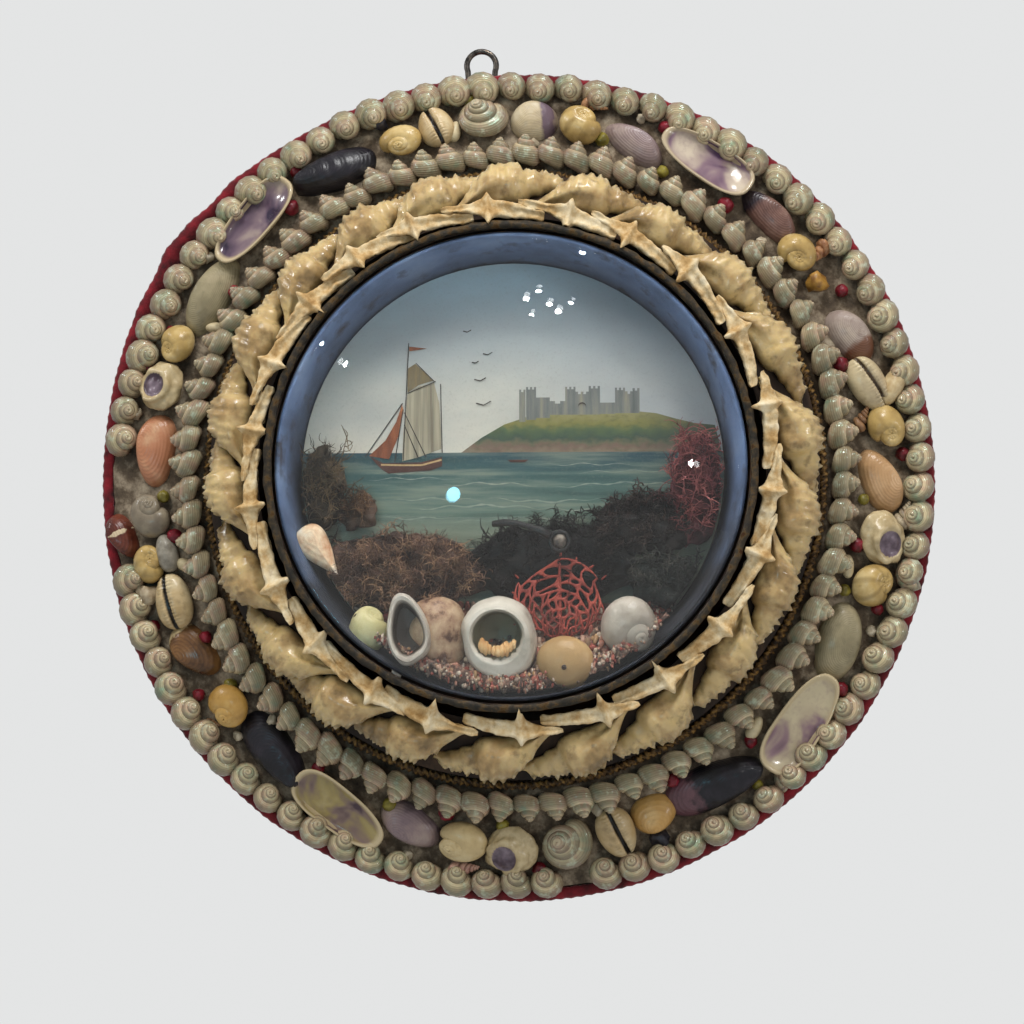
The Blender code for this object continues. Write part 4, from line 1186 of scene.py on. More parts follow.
painting = {
    "horizon": 6.0,
    "land": [
        (-16.3, 6.0), (-9.9, 10.7), (-2.5, 15.0), (2.4, 16.6), (8.0, 18.5), (13.5, 19.3), (22.1, 18.6),
        (28.3, 18.8), (40.5, 18.9), (46.0, 18.3), (51.8, 16.6), (57.9, 15.1), (64.5, 14.4), (66.5, 6.0),
    ],
    # left, right, foot and top of each block of the ruin, and how many teeth it has
    "ruin": [
        (2.2, 4.2, 15.8, 26.2, 1), (4.4, 7.6, 16.4, 27.0, 2), (7.6, 12.0, 17.0, 23.6, 0),
        (12.0, 16.9, 18.0, 22.4, 1), (16.9, 20.2, 18.0, 27.0, 2), (20.2, 24.4, 18.0, 25.4, 2),
        (24.4, 28.0, 18.0, 27.2, 2), (28.0, 32.8, 18.2, 21.8, 0), (32.8, 36.0, 18.4, 26.6, 2),
        (36.0, 38.4, 18.4, 25.4, 1), (38.4, 40.6, 18.4, 26.4, 1),
    ],
    # left, foot, half width and rise of the arch in the ruin
    "arch": (21.0, 20.6, 1.3, 1.4),
    "hull": [
        (-45.6, 4.9), (-41.3, 2.7), (-35.0, 2.9), (-29.1, 2.9), (-22.4, 4.7), (-22.5, 1.6), (-26.0, 0.3),
        (-39.5, -0.6), (-41.4, 0.4), (-43.6, 2.6),
    ],
    "rail": [((-42.0, 2.2), (-35.0, 2.0)), ((-35.0, 2.0), (-29.0, 2.0)), ((-29.0, 2.0), (-22.6, 3.7))],
    "mainSail": [
        (-33.6, 25.2), (-30.0, 27.4), (-25.1, 28.6), (-23.4, 22.0), (-22.9, 14.0), (-22.7, 7.2), (-30.5, 4.4),
        (-35.2, 3.3), (-34.9, 12.5),
    ],
    "topSail": [(-33.6, 33.2), (-31.2, 34.8), (-25.3, 29.3), (-30.0, 27.9), (-33.6, 25.4)],
    "jib": [
        (-35.4, 21.5), (-34.8, 19.7), (-36.4, 11.5), (-39.4, 4.0), (-45.9, 5.0), (-40.6, 10.0),
        (-37.2, 16.0),
    ],
    "rigging": [
        ((-33.3, 41.5), (-34.9, 3.5)), ((-33.6, 25.2), (-24.6, 29.0)), ((-31.0, 35.0), (-25.0, 29.0)),
        ((-34.6, 19.0), (-27.6, 4.6)), ((-34.6, 15.0), (-30.0, 4.2)), ((-35.2, 22.0), (-47.0, 4.8)),
        ((-35.0, 20.0), (-37.6, 3.0)), ((-23.0, 28.2), (-22.4, 6.0)),
    ],
    "pennant": [(-33.1, 40.4), (-27.4, 39.7), (-33.1, 38.9)],
    "birds": [
        (-10.3, 29.3, 3.8), (-9.2, 21.5, 4.8), (-14.5, 45.1, 2.6), (-11.9, 35.0, 2.2), (-7.9, 37.7, 3.0)
    ],
    "skiff": [(-1.6, 3.6), (5.2, 3.6), (4.0, 2.8), (-0.6, 2.8)],
    # left, right, height, rise and thickness of each line of surf
    "surf": [
        (-24, 8, -4.8, 0.9, 0.35), (-8, 30, -8.6, -1.2, 0.45), (12, 60, -5.6, 1.6, 0.4),
        (-40, -10, -9.4, 0.6, 0.35), (-46, -16, -2.6, 0.4, 0.25), (-32, 12, -12.4, 1.4, 0.5),
        (6, 52, -11.8, -0.9, 0.4), (-20, 30, -16.2, 0.7, 0.45), (-44, -20, -14.6, -0.5, 0.35),
        (20, 58, -0.6, 0.4, 0.22), (-44, -25, -0.8, 0.3, 0.3), (8, 40, 1.8, 0.3, 0.2),
    ],
}


def stroke(start, end, width):
    along = (Vector(end) - Vector(start)).normalized() * width / 2
    side = Vector((-along.y, along.x))
    return [Vector(start) + side, Vector(end) + side, Vector(end) - side, Vector(start) - side]


def wavyStroke(left, right, height, rise, width):
    steps = 26
    top, bottom = [], []
    for i in range(steps + 1):
        share = i / steps
        across = left + (right - left) * share
        level = height + rise * math.sin(3.1 * share) + 0.35 * math.sin(across * 0.55 + height)
        taper = math.sin(math.pi * min(0.98, max(0.02, share)))
        half = width / 2 * taper * (1 + 0.5 * math.sin(across * 1.7))
        top.append((across, level + half))
        bottom.append((across, level - half))
    return top + bottom[::-1]


def ruinBlock(left, right, foot, top, teeth):
    outline = [(left, foot), (left, top)]
    step = (right - left) / (2 * teeth + 1)
    for i in range(teeth):
        start = left + step * (2 * i + 1)
        outline += [(start, top), (start, top - 0.8), (start + step, top - 0.8), (start + step, top)]
    return outline + [(right, top), (right, foot)]


def paintLayer(name, outlines, material, layer):
    form = bmesh.new()
    front = cardFront + 0.04 * mm * layer
    for outline in outlines:
        spots = [form.verts.new((across * mm, -front, up * mm)) for across, up in outline]
        form.faces.new(spots)
    made = bmesh.ops.extrude_face_region(form, geom=form.faces[:])["geom"]
    nearer = [part for part in made if isinstance(part, bmesh.types.BMVert)]
    bmesh.ops.translate(form, vec=(0, -0.03 * mm, 0), verts=nearer)
    finishPiece(name, form, material, smooth=False)


def skyAndSea():
    material, tree, shader = newMaterial("paintedSkyAndSea", 0.5)
    where = axesOf(tree)
    horizon = painting["horizon"] * mm
    sky = rampOf(
        tree,
        levelOf(tree, where["Z"], horizon, 64 * mm),
        [(0.0, "c2beb0"), (0.35, "b6b6ad"), (0.7, "9aa5a9"), (1.0, "97b2c0")],
    )
    clouds = levelOf(tree, noiseOf(tree, 28, 5, 0.55, (0.8, 1, 1.6)), 0.38, 0.66)
    sky = mixOf(tree, mathOf(tree, "MULTIPLY", clouds, 0.5), sky, "8b9092")
    right = levelOf(tree, where["X"], 0.0, 62 * mm, 0.0, 0.65)
    sky = mixOf(tree, right, sky, "848f99")
    sea = rampOf(
        tree,
        levelOf(tree, where["Z"], -34 * mm, horizon),
        [(0.0, "4f5a4c"), (0.35, "6a7362"), (0.55, "51675d"), (0.8, "375452"), (1.0, "26434c")],
    )
    ripples = noiseOf(tree, 190, 4, 0.6, (0.10, 1, 1.6))
    sea = mixOf(tree, levelOf(tree, ripples, 0.48, 0.66, 0.0, 0.6), sea, "828a78")
    sea = mixOf(tree, levelOf(tree, ripples, 0.46, 0.34, 0.0, 0.6), sea, "27413c")
    above = mathOf(tree, "GREATER_THAN", where["Z"], horizon)
    picture = mixOf(tree, above, sea, sky)
    canvas = noiseOf(tree, 1500, 3, 0.6)
    colourFrom(tree, shader, mixOf(tree, levelOf(tree, canvas, 0.55, 0.75, 0.0, 0.25), picture, "7d7c70"))
    bumpOn(tree, shader, canvas, 0.00005, 0.5)
    return material


def landPaint():
    material, tree, shader = newMaterial("paintedLand", 0.55)
    where = axesOf(tree)
    ragged = mathOf(
        tree, "ADD", where["Z"], levelOf(tree, noiseOf(tree, 260, 4), 0.3, 0.7, -1.2 * mm, 1.2 * mm)
    )
    body = rampOf(
        tree,
        levelOf(tree, ragged, 6 * mm, 19 * mm),
        [
            (0.0, "776856"), (0.14, "6b5548"), (0.24, "5d5a44"), (0.34, "33473b"), (0.55, "4a5a3a"),
            (0.7, "74703a"), (1.0, "86825a"),
        ],
    )
    streaks = levelOf(tree, noiseOf(tree, 420, 4, 0.6, (0.7, 1, 1.6)), 0.5, 0.7, 0.0, 0.5)
    body = mixOf(tree, streaks, body, "434a2c")
    far = levelOf(tree, where["X"], 38 * mm, 64 * mm, 0.0, 0.75)
    colourFrom(tree, shader, mixOf(tree, far, body, "3f4a3e"))
    return material


def streakPaint(name, stops, scale=(6, 1, 0.5), density=160):
    material, tree, shader = newMaterial(name, 0.55)
    colourFrom(tree, shader, rampOf(tree, noiseOf(tree, density, 4, 0.6, scale), stops))
    return material


def addPainting():
    front = cardFront
    form = turned([(0, front), (cardRadius, front), (cardRadius, cardBack), (0, cardBack)], 96)
    finishPiece("paintedCard", form, skyAndSea(), ["painted_card"], smooth=False)
    foam = streakPaint("paintedFoam", [(0.35, "6c7b70"), (0.65, "939688")], (0.3, 1, 1))
    paintLayer("paintedSurf", [wavyStroke(*line) for line in painting["surf"]], foam, 1)
    paintLayer("paintedLand", [painting["land"]], landPaint(), 1)
    stone = streakPaint("paintedStone", [(0.3, "565a59"), (0.5, "6d706b"), (0.7, "86826f")], (4, 1, 0.4), 120)
    paintLayer("paintedRuin", [ruinBlock(*block) for block in painting["ruin"]], stone, 2)
    dark = streakPaint("paintedDark", [(0.3, "221c18"), (0.7, "3b3029")])
    left, foot, half, rise = painting["arch"]
    angles = (0, 0.5, 1.0, 1.57, 2.1, 2.6, 3.1)
    arch = [(left + half * (1 - math.cos(angle)), foot + rise * math.sin(angle)) for angle in angles]
    inner = [(across, up - 0.45) for across, up in arch[::-1]]
    lines = [stroke(start, end, 0.28) for start, end in painting["rigging"]]
    for across, up, span in painting["birds"]:
        lines.append(stroke((across - span / 2, up + span * 0.08), (across, up - span * 0.06), 0.35))
        lines.append(stroke((across, up - span * 0.06), (across + span / 2, up + span * 0.22), 0.3))
    paintLayer("paintedLines", lines + [arch + inner], dark, 6)
    wood = streakPaint("paintedHull", [(0.3, "35201a"), (0.7, "583529")], (0.5, 1, 3))
    paintLayer("paintedHull", [painting["hull"], painting["skiff"]], wood, 4)
    tan = streakPaint("paintedRail", [(0.3, "9a8157"), (0.7, "b59a6c")])
    paintLayer("paintedRail", [stroke(start, end, 0.55) for start, end in painting["rail"]], tan, 5)
    linen = streakPaint(
        "paintedSail", [(0.35, "6d6656"), (0.5, "8d8672"), (0.66, "a69e87")], (3, 1, 0.12), 150
    )
    paintLayer("paintedMainSail", [painting["mainSail"]], linen, 3)
    ochre = streakPaint("paintedTopSail", [(0.35, "645d48"), (0.65, "7a6948")])
    paintLayer("paintedTopSail", [painting["topSail"]], ochre, 4)
    rust = streakPaint("paintedJib", [(0.3, "4f2c1c"), (0.5, "83492a"), (0.7, "a3683a")], (2, 1, 0.5), 110)
    paintLayer("paintedJib", [painting["jib"], painting["pennant"]], rust, 5)
    stageNote("painting")


# Behind the glass: tubes for weeds and twigs, sprigs and their scattering

def facing(across, up, depth, turn=0.0, tilt=0.0):
    # millimetres across, up and out from the wall; local z looks at the viewer
    spot = Matrix.Translation((across * mm, -depth * mm, up * mm))
    facingOut = Matrix.Rotation(math.pi / 2 - math.radians(tilt), 4, "X")
    return spot @ facingOut @ Matrix.Rotation(math.radians(turn), 4, "Z")


def tube(form, path, radii, sides=3, closed=True):
    # a ring extruded from point to point, turned to face along the path
    ahead = (path[1] - path[0]).normalized()
    turn = ahead.to_track_quat("Z", "Y")
    place = Matrix.LocRotScale(path[0], turn, Vector((radii[0],) * 3))
    ring = bmesh.ops.create_circle(form, segments=sides, radius=1.0)["verts"]
    edges = list({edge for vert in ring for edge in vert.link_edges})
    if closed:
        bmesh.ops.contextual_create(form, geom=edges)
    bmesh.ops.transform(form, matrix=place, verts=ring)
    for i in range(1, len(path)):
        made = bmesh.ops.extrude_edge_only(form, edges=edges)["geom"]
        ring = [part for part in made if isinstance(part, bmesh.types.BMVert)]
        inRing = set(ring)
        edges = [part for part in made if isinstance(part, bmesh.types.BMEdge) and set(part.verts) <= inRing]
        onward = (path[min(i + 1, len(path) - 1)] - path[i - 1]).normalized()
        turn = ahead.rotation_difference(onward) @ turn
        ahead = onward
        after = Matrix.LocRotScale(path[i], turn, Vector((radii[i],) * 3))
        bmesh.ops.transform(form, matrix=after @ place.inverted(), verts=ring)
        place = after
    if closed:
        bmesh.ops.contextual_create(form, geom=edges)


def curlPath(start, heading, length, steps, curl, lot):
    path = [start.copy()]
    heading = heading.normalized()
    axis = Vector((lot.uniform(-1, 1), lot.uniform(-1, 1), lot.uniform(-1, 1))).normalized()
    for _ in range(steps):
        heading = Matrix.Rotation(curl * lot.uniform(0.3, 1.5), 3, axis) @ heading
        path.append(path[-1] + heading * length / steps)
    return path


def weedSprig(style, lot):
    # a stem that stands on its origin and points along z, with side branches
    length, branches, reach, curl, thick = style["sprig"]
    form = bmesh.new()
    stem = curlPath(Vector((0, 0, 0)), Vector((0, 0, 1)), length * mm, 7, curl, lot)
    tube(form, stem, [thick * mm * (1.3 - 0.1 * i) for i in range(8)])
    for _ in range(branches):
        start = stem[lot.randint(1, 7)]
        heading = Vector((lot.uniform(-1, 1), lot.uniform(-1, 1), lot.uniform(0.0, 1.3)))
        branch = curlPath(start, heading, lot.uniform(0.5, 1.0) * reach * mm, 4, curl * 1.6, lot)
        tube(form, branch, [thick * mm * share for share in (0.9, 0.85, 0.8, 0.6, 0.35)])
    return template(form)


weeds = {
    # centre and half size across and up, nearest and farthest depth, number of sprigs, and each sprig's
    # length, branches, branch length, curl and thickness, all in mm; then its colours
    "greenTuft": {
        "spot": (-60, -6, 6, 12), "depth": (33, 40), "count": 60, "sprig": (9, 9, 5, 0.25, 0.17),
        "colours": ("2c251b", "514330", "7c6648"), "node": None,
    },
    "netTuft": {
        "spot": (-49, -13, 4.5, 5.5), "depth": (34, 38), "count": 34, "sprig": (6, 10, 4, 0.45, 0.16),
        "colours": ("33251a", "5a412c", "7a5a3c"), "node": None,
    },
    "pinkMoss": {
        "spot": (-35, -33, 25, 12), "depth": (33, 43), "count": 240, "sprig": (6, 11, 5, 0.55, 0.17),
        "colours": ("2e201b", "664a3a", "9c7a5c"), "node": "seaweed_left",
    },
    "blackMoss": {
        "spot": (13, -30, 25, 12), "depth": (32, 38), "count": 230, "sprig": (6, 12, 4, 0.3, 0.18),
        "colours": ("070605", "120f0d", "241d19"), "node": "seaweed_right",
    },
    "brownWeed": {
        "spot": (41, -18, 15, 9), "depth": (32, 38), "count": 170, "sprig": (7, 9, 4, 0.35, 0.24),
        "colours": ("120e0c", "261d19", "40312a"), "node": None,
    },
    "redWeed": {
        "spot": (58, -7, 7, 17), "depth": (33, 42), "count": 90, "sprig": (9, 10, 5, 0.25, 0.16),
        "colours": ("3a181b", "7a3a3c", "9c5a54"), "node": None,
    },
    "greyWeed": {
        "spot": (49, -35, 11, 8), "depth": (33, 41), "count": 90, "sprig": (6, 9, 4, 0.4, 0.2),
        "colours": ("161816", "2b2f2b", "4b4a42"), "node": None,
    },
}
behindGlass = {"reach": 66.5 * mm, "sprigKinds": 5, "matDepth": 4.0}


def addWeeds():
    lot = random.Random(11)
    for name, style in weeds.items():
        sprigs = [weedSprig(style, lot) for _ in range(behindGlass["sprigKinds"])]
        form = bmesh.new()
        across, up, halfAcross, halfUp = style["spot"]
        for _ in range(style["count"]):
            angle, share = lot.uniform(0, 2 * math.pi), math.sqrt(lot.random())
            aside, above = halfAcross * share * math.cos(angle), halfUp * share * math.sin(angle)
            spot = Vector((across + aside, 0, up + above)) * mm
            if spot.length > behindGlass["reach"]:
                continue
            spot.y = -lot.uniform(*style["depth"]) * mm
            turn = Matrix.Rotation(lot.uniform(0, 6.28), 4, "Z")
            lean = Matrix.Rotation(lot.uniform(-0.1, 1.1), 4, "X")
            lean = lean @ Matrix.Rotation(lot.uniform(-0.8, 0.8), 4, "Y")
            size = Matrix.Scale(lot.uniform(0.7, 1.2), 4)
            stamp(form, lot.choice(sprigs), Matrix.Translation(spot) @ lean @ turn @ size, lot.random())
        mat = bmesh.new()
        bmesh.ops.create_icosphere(mat, subdivisions=4, radius=1.0)
        wide = Vector((halfAcross * 1.06, behindGlass["matDepth"], halfUp * 1.06)) * mm
        bmesh.ops.scale(mat, vec=wide, verts=mat.verts)
        ruffle(mat, 4 * mm, 3.2 * mm, seed=across)
        ruffle(mat, 2.6 * mm, 0.9 * mm, seed=up)
        stamp(form, template(mat), Matrix.Translation(Vector((across, -cardFront / mm - 3.0, up)) * mm), 0.15)
        for vert in form.verts:
            radius = math.hypot(vert.co.x, vert.co.z)
            if radius > behindGlass["reach"]:
                vert.co.x *= behindGlass["reach"] / radius
                vert.co.z *= behindGlass["reach"] / radius
            vert.co.y = min(vert.co.y, -cardFront - 0.6 * mm)
        material, tree, shader = newMaterial(name, 0.7)
        dark, middle, light = style["colours"]
        tint = mathOf(tree, "MULTIPLY", attributeOf(tree, "tint"), 0.5)
        mixed = mathOf(tree, "ADD", tint, noiseOf(tree, 120, 3))
        colourFrom(tree, shader, rampOf(tree, mixed, [(0.45, dark), (0.75, middle), (1.0, light)]))
        bumpOn(tree, shader, noiseOf(tree, 1500, 2), 0.0001, 0.4)
        nodes = [style["node"]] if style["node"] else ()
        finishPiece(name, form, material, nodes, outward=False)
    stageNote("seaweed")


def sandDrift(u, v):
    # sand that has slid down between the sea bed and the lining
    clock, angle = 134 + 92 * v, 2 * math.pi * u
    girth = math.sin(math.pi * min(0.97, max(0.03, v))) ** 0.6
    radius = 67.3 * mm + 3.0 * mm * girth * math.cos(angle)
    return onClock(clock, radius, 45.4 * mm + 3.6 * mm * girth * math.sin(angle))


# Where grit falls on the sea bed and on the sand drift: how many tries, clock, radius, the depth that it
# falls from, and the sizes of its grains, in mm
gritSpots = {
    "bed": {
        "tries": 1500, "clock": (112, 248), "radius": (42, 67), "from": 65,
        "sizes": (0.5, 0.7, 0.9, 1.2, 1.6),
    },
    "drift": {
        "tries": 900, "clock": (136, 224), "radius": (63, 70.2), "from": 60, "sizes": (0.4, 0.5, 0.7, 0.9)
    },
    "top": -40 * mm,
}


def scatterGrit(grit, kinds, surface, lot, style):
    for _ in range(style["tries"]):
        clock, radius = math.radians(lot.uniform(*style["clock"])), lot.uniform(*style["radius"]) * mm
        start = Vector((radius * math.sin(clock), -style["from"] * mm, radius * math.cos(clock)))
        if start.z > gritSpots["top"]:
            continue
        spot = surface.ray_cast(start, Vector((0, 1, 0)))[0]
        if spot is None:
            continue
        turn = Matrix.Rotation(lot.uniform(0, 6.28), 4, "X") @ Matrix.Rotation(lot.uniform(0, 6.28), 4, "Z")
        place = Matrix.Translation(spot) @ turn @ Matrix.Scale(lot.choice(style["sizes"]) * mm, 4)
        stamp(grit, lot.choice(kinds), place, lot.random())


def addSeaBed():
    form = bmesh.new()
    form.from_mesh(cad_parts["sea_bed"].data)
    bmesh.ops.subdivide_edges(form, edges=form.edges, cuts=5, use_grid_fill=True)
    bmesh.ops.triangulate(form, faces=form.faces)
    ruffle(form, 4 * mm, 0.8 * mm, lambda spot: 0.0 if spot.y > -cardFront - 2 * mm else 1.0)
    surface = BVHTree.FromBMesh(form)
    material, tree, shader = newMaterial("sand", 0.9)
    body = rampOf(
        tree, noiseOf(tree, 420, 5),
        [(0.3, "2e221c"), (0.5, "5f473d"), (0.62, "8a6a5c"), (0.75, "b39a8a")],
    )
    colourFrom(tree, shader, body)
    bumpOn(tree, shader, noiseOf(tree, 1100, 5), 0.0004, 0.8)
    finishPiece("seaBed", form, material, ["sea_bed"], smooth=False)
    lot = random.Random(5)
    pebble = bmesh.new()
    bmesh.ops.create_icosphere(pebble, subdivisions=1, radius=1.0)
    twig = bmesh.new()
    tube(twig, [Vector((0, 0, -2)), Vector((0.3, 0, 0)), Vector((0, 0.2, 2))], [0.55, 0.6, 0.35], 5)
    kinds = [template(pebble), template(twig)]
    grit = bmesh.new()
    scatterGrit(grit, kinds, surface, lot, gritSpots["bed"])
    drift = wrappedGrid(20, 120, sandDrift)
    ruffle(drift, 3 * mm, 0.7 * mm)
    nearer = BVHTree.FromBMesh(drift)
    finishPiece("sandDrift", drift, material, smooth=False)
    scatterGrit(grit, kinds, nearer, lot, gritSpots["drift"])
    material, tree, shader = newMaterial("coralGrit", 0.6)
    body = rampOf(
        tree,
        attributeOf(tree, "tint"),
        [
            (0.0, "7d3228"), (0.2, "a05a4a"), (0.4, "a88470"), (0.55, "bfb2a2"), (0.7, "9c7850"),
            (0.85, "7a685c"), (1.0, "43302a"),
        ],
    )
    colourFrom(
        tree, shader,
        mixOf(tree, levelOf(tree, noiseOf(tree, 900, 3), 0.5, 0.7, 0.0, 0.5), body, "5a4038"),
    )
    bumpOn(tree, shader, noiseOf(tree, 1500, 3), 0.0001, 0.5)
    finishPiece("coralGrit", grit, material, outward=False)


# The coral's foot across, up and out, the angle of its fan, its reach, and its meshes across and along, in mm
coral = {"foot": (15.2, -53.5, 40.2), "spread": 150, "reach": 24, "across": 13, "rings": 9, "strut": 1.2 * mm}


def addCoral():
    lot = random.Random(4)
    footX, footZ, depth = coral["foot"]

    def place(u, v):
        # every other ring is turned by half a mesh
        offset = 0.5 * (round(v * coral["rings"]) % 2) / coral["across"]
        angle = math.radians(coral["spread"]) * (u - 0.5 + offset)
        reach = coral["reach"] * max(0.25, math.cos(angle * 0.86)) * v + 1.2
        jitter = 0.75 if 0 < v < 1 else 0.3
        across = footX + reach * math.sin(angle) + lot.uniform(-jitter, jitter)
        up = footZ + reach * math.cos(angle) + lot.uniform(-jitter, jitter)
        return Vector((across * mm, -depth * mm - 1.6 * mm * math.sin(2 * v + 3 * u), up * mm))

    form = wrappedGrid(coral["across"], coral["rings"], place, closed=False)
    rim = [vert for vert in form.verts if vert.is_boundary]
    foot = Vector((footX, -depth, footZ)) * mm
    top = max(vert.co.z for vert in form.verts)
    outermost = [face for face in form.faces if any(edge.is_boundary for edge in face.edges)]
    broken = [face for face in outermost if lot.random() < 0.45]
    broken = [face for face in broken if face.calc_center_median().z > top - 24 * mm]
    bmesh.ops.delete(form, geom=broken, context="FACES")
    # only the rim points that are still part of the net carry a tip
    tips = [vert.co.copy() for vert in rim if vert.is_valid and (vert.co - foot).length > 12 * mm]
    inner = [edge for edge in form.edges if not edge.is_boundary and lot.random() < 0.16]
    bmesh.ops.dissolve_edges(form, edges=inner, use_verts=False)
    bmesh.ops.wireframe(
        form,
        faces=form.faces,
        thickness=coral["strut"],
        use_replace=True,
        use_boundary=True,
        use_even_offset=False,
    )
    middle = Vector((footX, -depth, footZ + 12)) * mm
    for tip in tips:
        away = (tip - middle).normalized() * lot.uniform(1.2, 2.6) * mm
        away += Vector((lot.uniform(-0.6, 0.6), lot.uniform(-0.6, 0.3), lot.uniform(-0.6, 0.6))) * mm
        tube(form, [tip, tip + away * 0.6, tip + away], [0.5 * mm, 0.42 * mm, 0.22 * mm], 5)
    stem = [Vector((footX, -depth - 0.4, footZ + up)) * mm for up in (-3, 2, 8, 14, 19, 24)]
    tube(form, stem, [1.1 * mm, 0.95 * mm, 0.85 * mm, 0.75 * mm, 0.6 * mm, 0.45 * mm], 6)
    material, tree, shader = newMaterial("redCoral", 0.6)
    body = rampOf(tree, noiseOf(tree, 200, 4), [(0.3, "642219"), (0.5, "8c372a"), (0.7, "a04838")])
    colourFrom(tree, shader, body)
    bumpOn(tree, shader, noiseOf(tree, 1600, 3), 0.00015, 0.7)
    piece = finishPiece("coralNet", form, material, ["coral_fan"])
    soften = piece.modifiers.new("soften", "SUBSURF")
    soften.levels = soften.render_levels = 1


def cupForm(profile, columns=44, rows=56, stretch=lambda angle, v: 1.0):
    # a turned cup about local z, from the middle of its back, over the lip and down its throat
    def place(u, v):
        angle = 2 * math.pi * u
        spot = v * (len(profile) - 1)
        index = min(int(spot), len(profile) - 2)
        share = spot - index
        share = share * share * (3 - 2 * share) * 0.4 + share * 0.6
        (radius, height), (nextRadius, nextHeight) = profile[index], profile[index + 1]
        radius = (radius + (nextRadius - radius) * share) * stretch(angle, v) * mm
        height = (height + (nextHeight - height) * share) * mm
        return Vector((radius * math.cos(angle), radius * math.sin(angle), height))

    return wrappedGrid(columns, rows, place)


def insideMaterial(name, stops, roughness=0.45, scale=120, inner=None):
    material, tree, shader = newMaterial(name, roughness, {"Coat Weight": 0.15})
    body = rampOf(tree, noiseOf(tree, scale, 5, 0.6), stops)
    # painted shade: the throat, past the lip, is darkened with the given colour
    if inner:
        body = mixOf(tree, levelOf(tree, attributeOf(tree, "along"), 0.66, 0.76), body, inner)
    colourFrom(tree, shader, body)
    bumpOn(tree, shader, noiseOf(tree, 900, 4), 0.0002, 0.5)
    return material


# Where each shell lies behind the glass: across, up and out in mm, then its turn and tilt
insidePlaces = {
    "moonShell": (-3.8, -52.0, 43.5, 0, -12),
    "whelkMouth": (-31.4, -51.6, 48.6, 17),
    "whelkBody": (-22.8, -52.6, 36.0, 100),
    "eggHoleShadow": (16.7, -63.0, 51.4),
    "greyTurban": (36.5, -49.6, 36.5),
    "sallowPeriwinkle": (-44.0, -51.0, 38.5),
    "orangeShard": (-60.0, -26.6, 42.0, -52),
}


def addMoonShell():
    # it shows its round mouth, with a broken lip inside
    profile = [
        (0.1, -9), (8, -8), (11.0, -3), (11.4, 2), (10.7, 6), (9.6, 8.2), (8.6, 8.9), (7.7, 7.6),
        (7.2, 3), (5.8, -2), (0.1, -4),
    ]

    def moonStretch(angle, v):
        down = max(0.0, -math.sin(angle - 0.25))
        ragged = 0.05 * noise.noise(Vector((2 * math.cos(angle), 2 * math.sin(angle), v * 4)))
        outer = (1 - eased(v, 0.45, 0.62))
        chipped = 0.16 * down * abs(math.sin(angle * 9)) * bell(v, 0.68, 0.06)
        return 1 + 0.34 * down**1.5 * outer + ragged * outer - chipped

    form = cupForm(profile, stretch=moonStretch)
    bmesh.ops.transform(form, matrix=facing(*insidePlaces["moonShell"]), verts=form.verts)
    chalk = [(0.3, "857c6e"), (0.45, "b9b2a4"), (0.7, "d2cbbe")]
    # its olive throat colour is painted shade
    finishPiece(
        "moonShell", form, insideMaterial("moonShell", chalk, 0.4, 90, "7d775d"),
        ["moon_shell"],
    )
    lip = bmesh.new()
    lot = random.Random(8)
    for i in range(9):
        angle = math.radians(228 + 11 * i)
        spot = facing(
            -3.8 + 6.9 * math.cos(angle), -51.4 + 6.6 * math.sin(angle), 50.4 + lot.uniform(-0.5, 0.6)
        )
        made = bmesh.ops.create_icosphere(lip, subdivisions=2, radius=lot.uniform(1.0, 1.9) * mm)["verts"]
        bmesh.ops.scale(lip, vec=(0.7, 1.4, 0.8), verts=made)
        bmesh.ops.transform(lip, matrix=spot, verts=made)
    ruffle(lip, 1.5 * mm, 0.5 * mm)
    finishPiece(
        "brokenLip", lip,
        insideMaterial("brokenLip", [(0.3, "b8824a"), (0.55, "d6ae78"), (0.75, "e4d3b0")]),
    )


def addWhelk():
    # it lies on its side and shows its long mouth
    profile = [
        (0.1, -6), (9, -5.5), (11.6, -1), (11.4, 2.6), (10.4, 3.9), (9.2, 3.6), (8.2, 1.5), (7.2, -2),
        (0.1, -3.5),
    ]

    def whelkStretch(angle, v):
        return 1 + 0.10 * math.sin(2 * angle + 0.6) - 0.07 * math.sin(3 * angle)

    mouth = cupForm(profile, stretch=whelkStretch)
    bmesh.ops.scale(mouth, vec=(0.54, 1.0, 1.0), verts=mouth.verts)
    bmesh.ops.transform(mouth, matrix=facing(*insidePlaces["whelkMouth"]), verts=mouth.verts)
    # its dark throat colour is painted shade
    finishPiece(
        "whelkMouth", mouth,
        insideMaterial("whelkMouth", [(0.3, "8f8478"), (0.6, "c4bcb0")], 0.35, 80, "3a312a"),
    )
    body = cowrieForm(24 * mm, 18.5 * mm, 12 * mm, taper=-0.2)
    ruffle(body, 7 * mm, 0.9 * mm)
    bmesh.ops.transform(body, matrix=facing(*insidePlaces["whelkBody"]), verts=body.verts)
    rusty = [(0.36, "54382b"), (0.44, "93745c"), (0.6, "b39a7c"), (0.75, "9c8470")]
    finishPiece(
        "whelkBody", body, insideMaterial("whelkBody", rusty, 0.45, 190), ["inner_whelk"]
    )


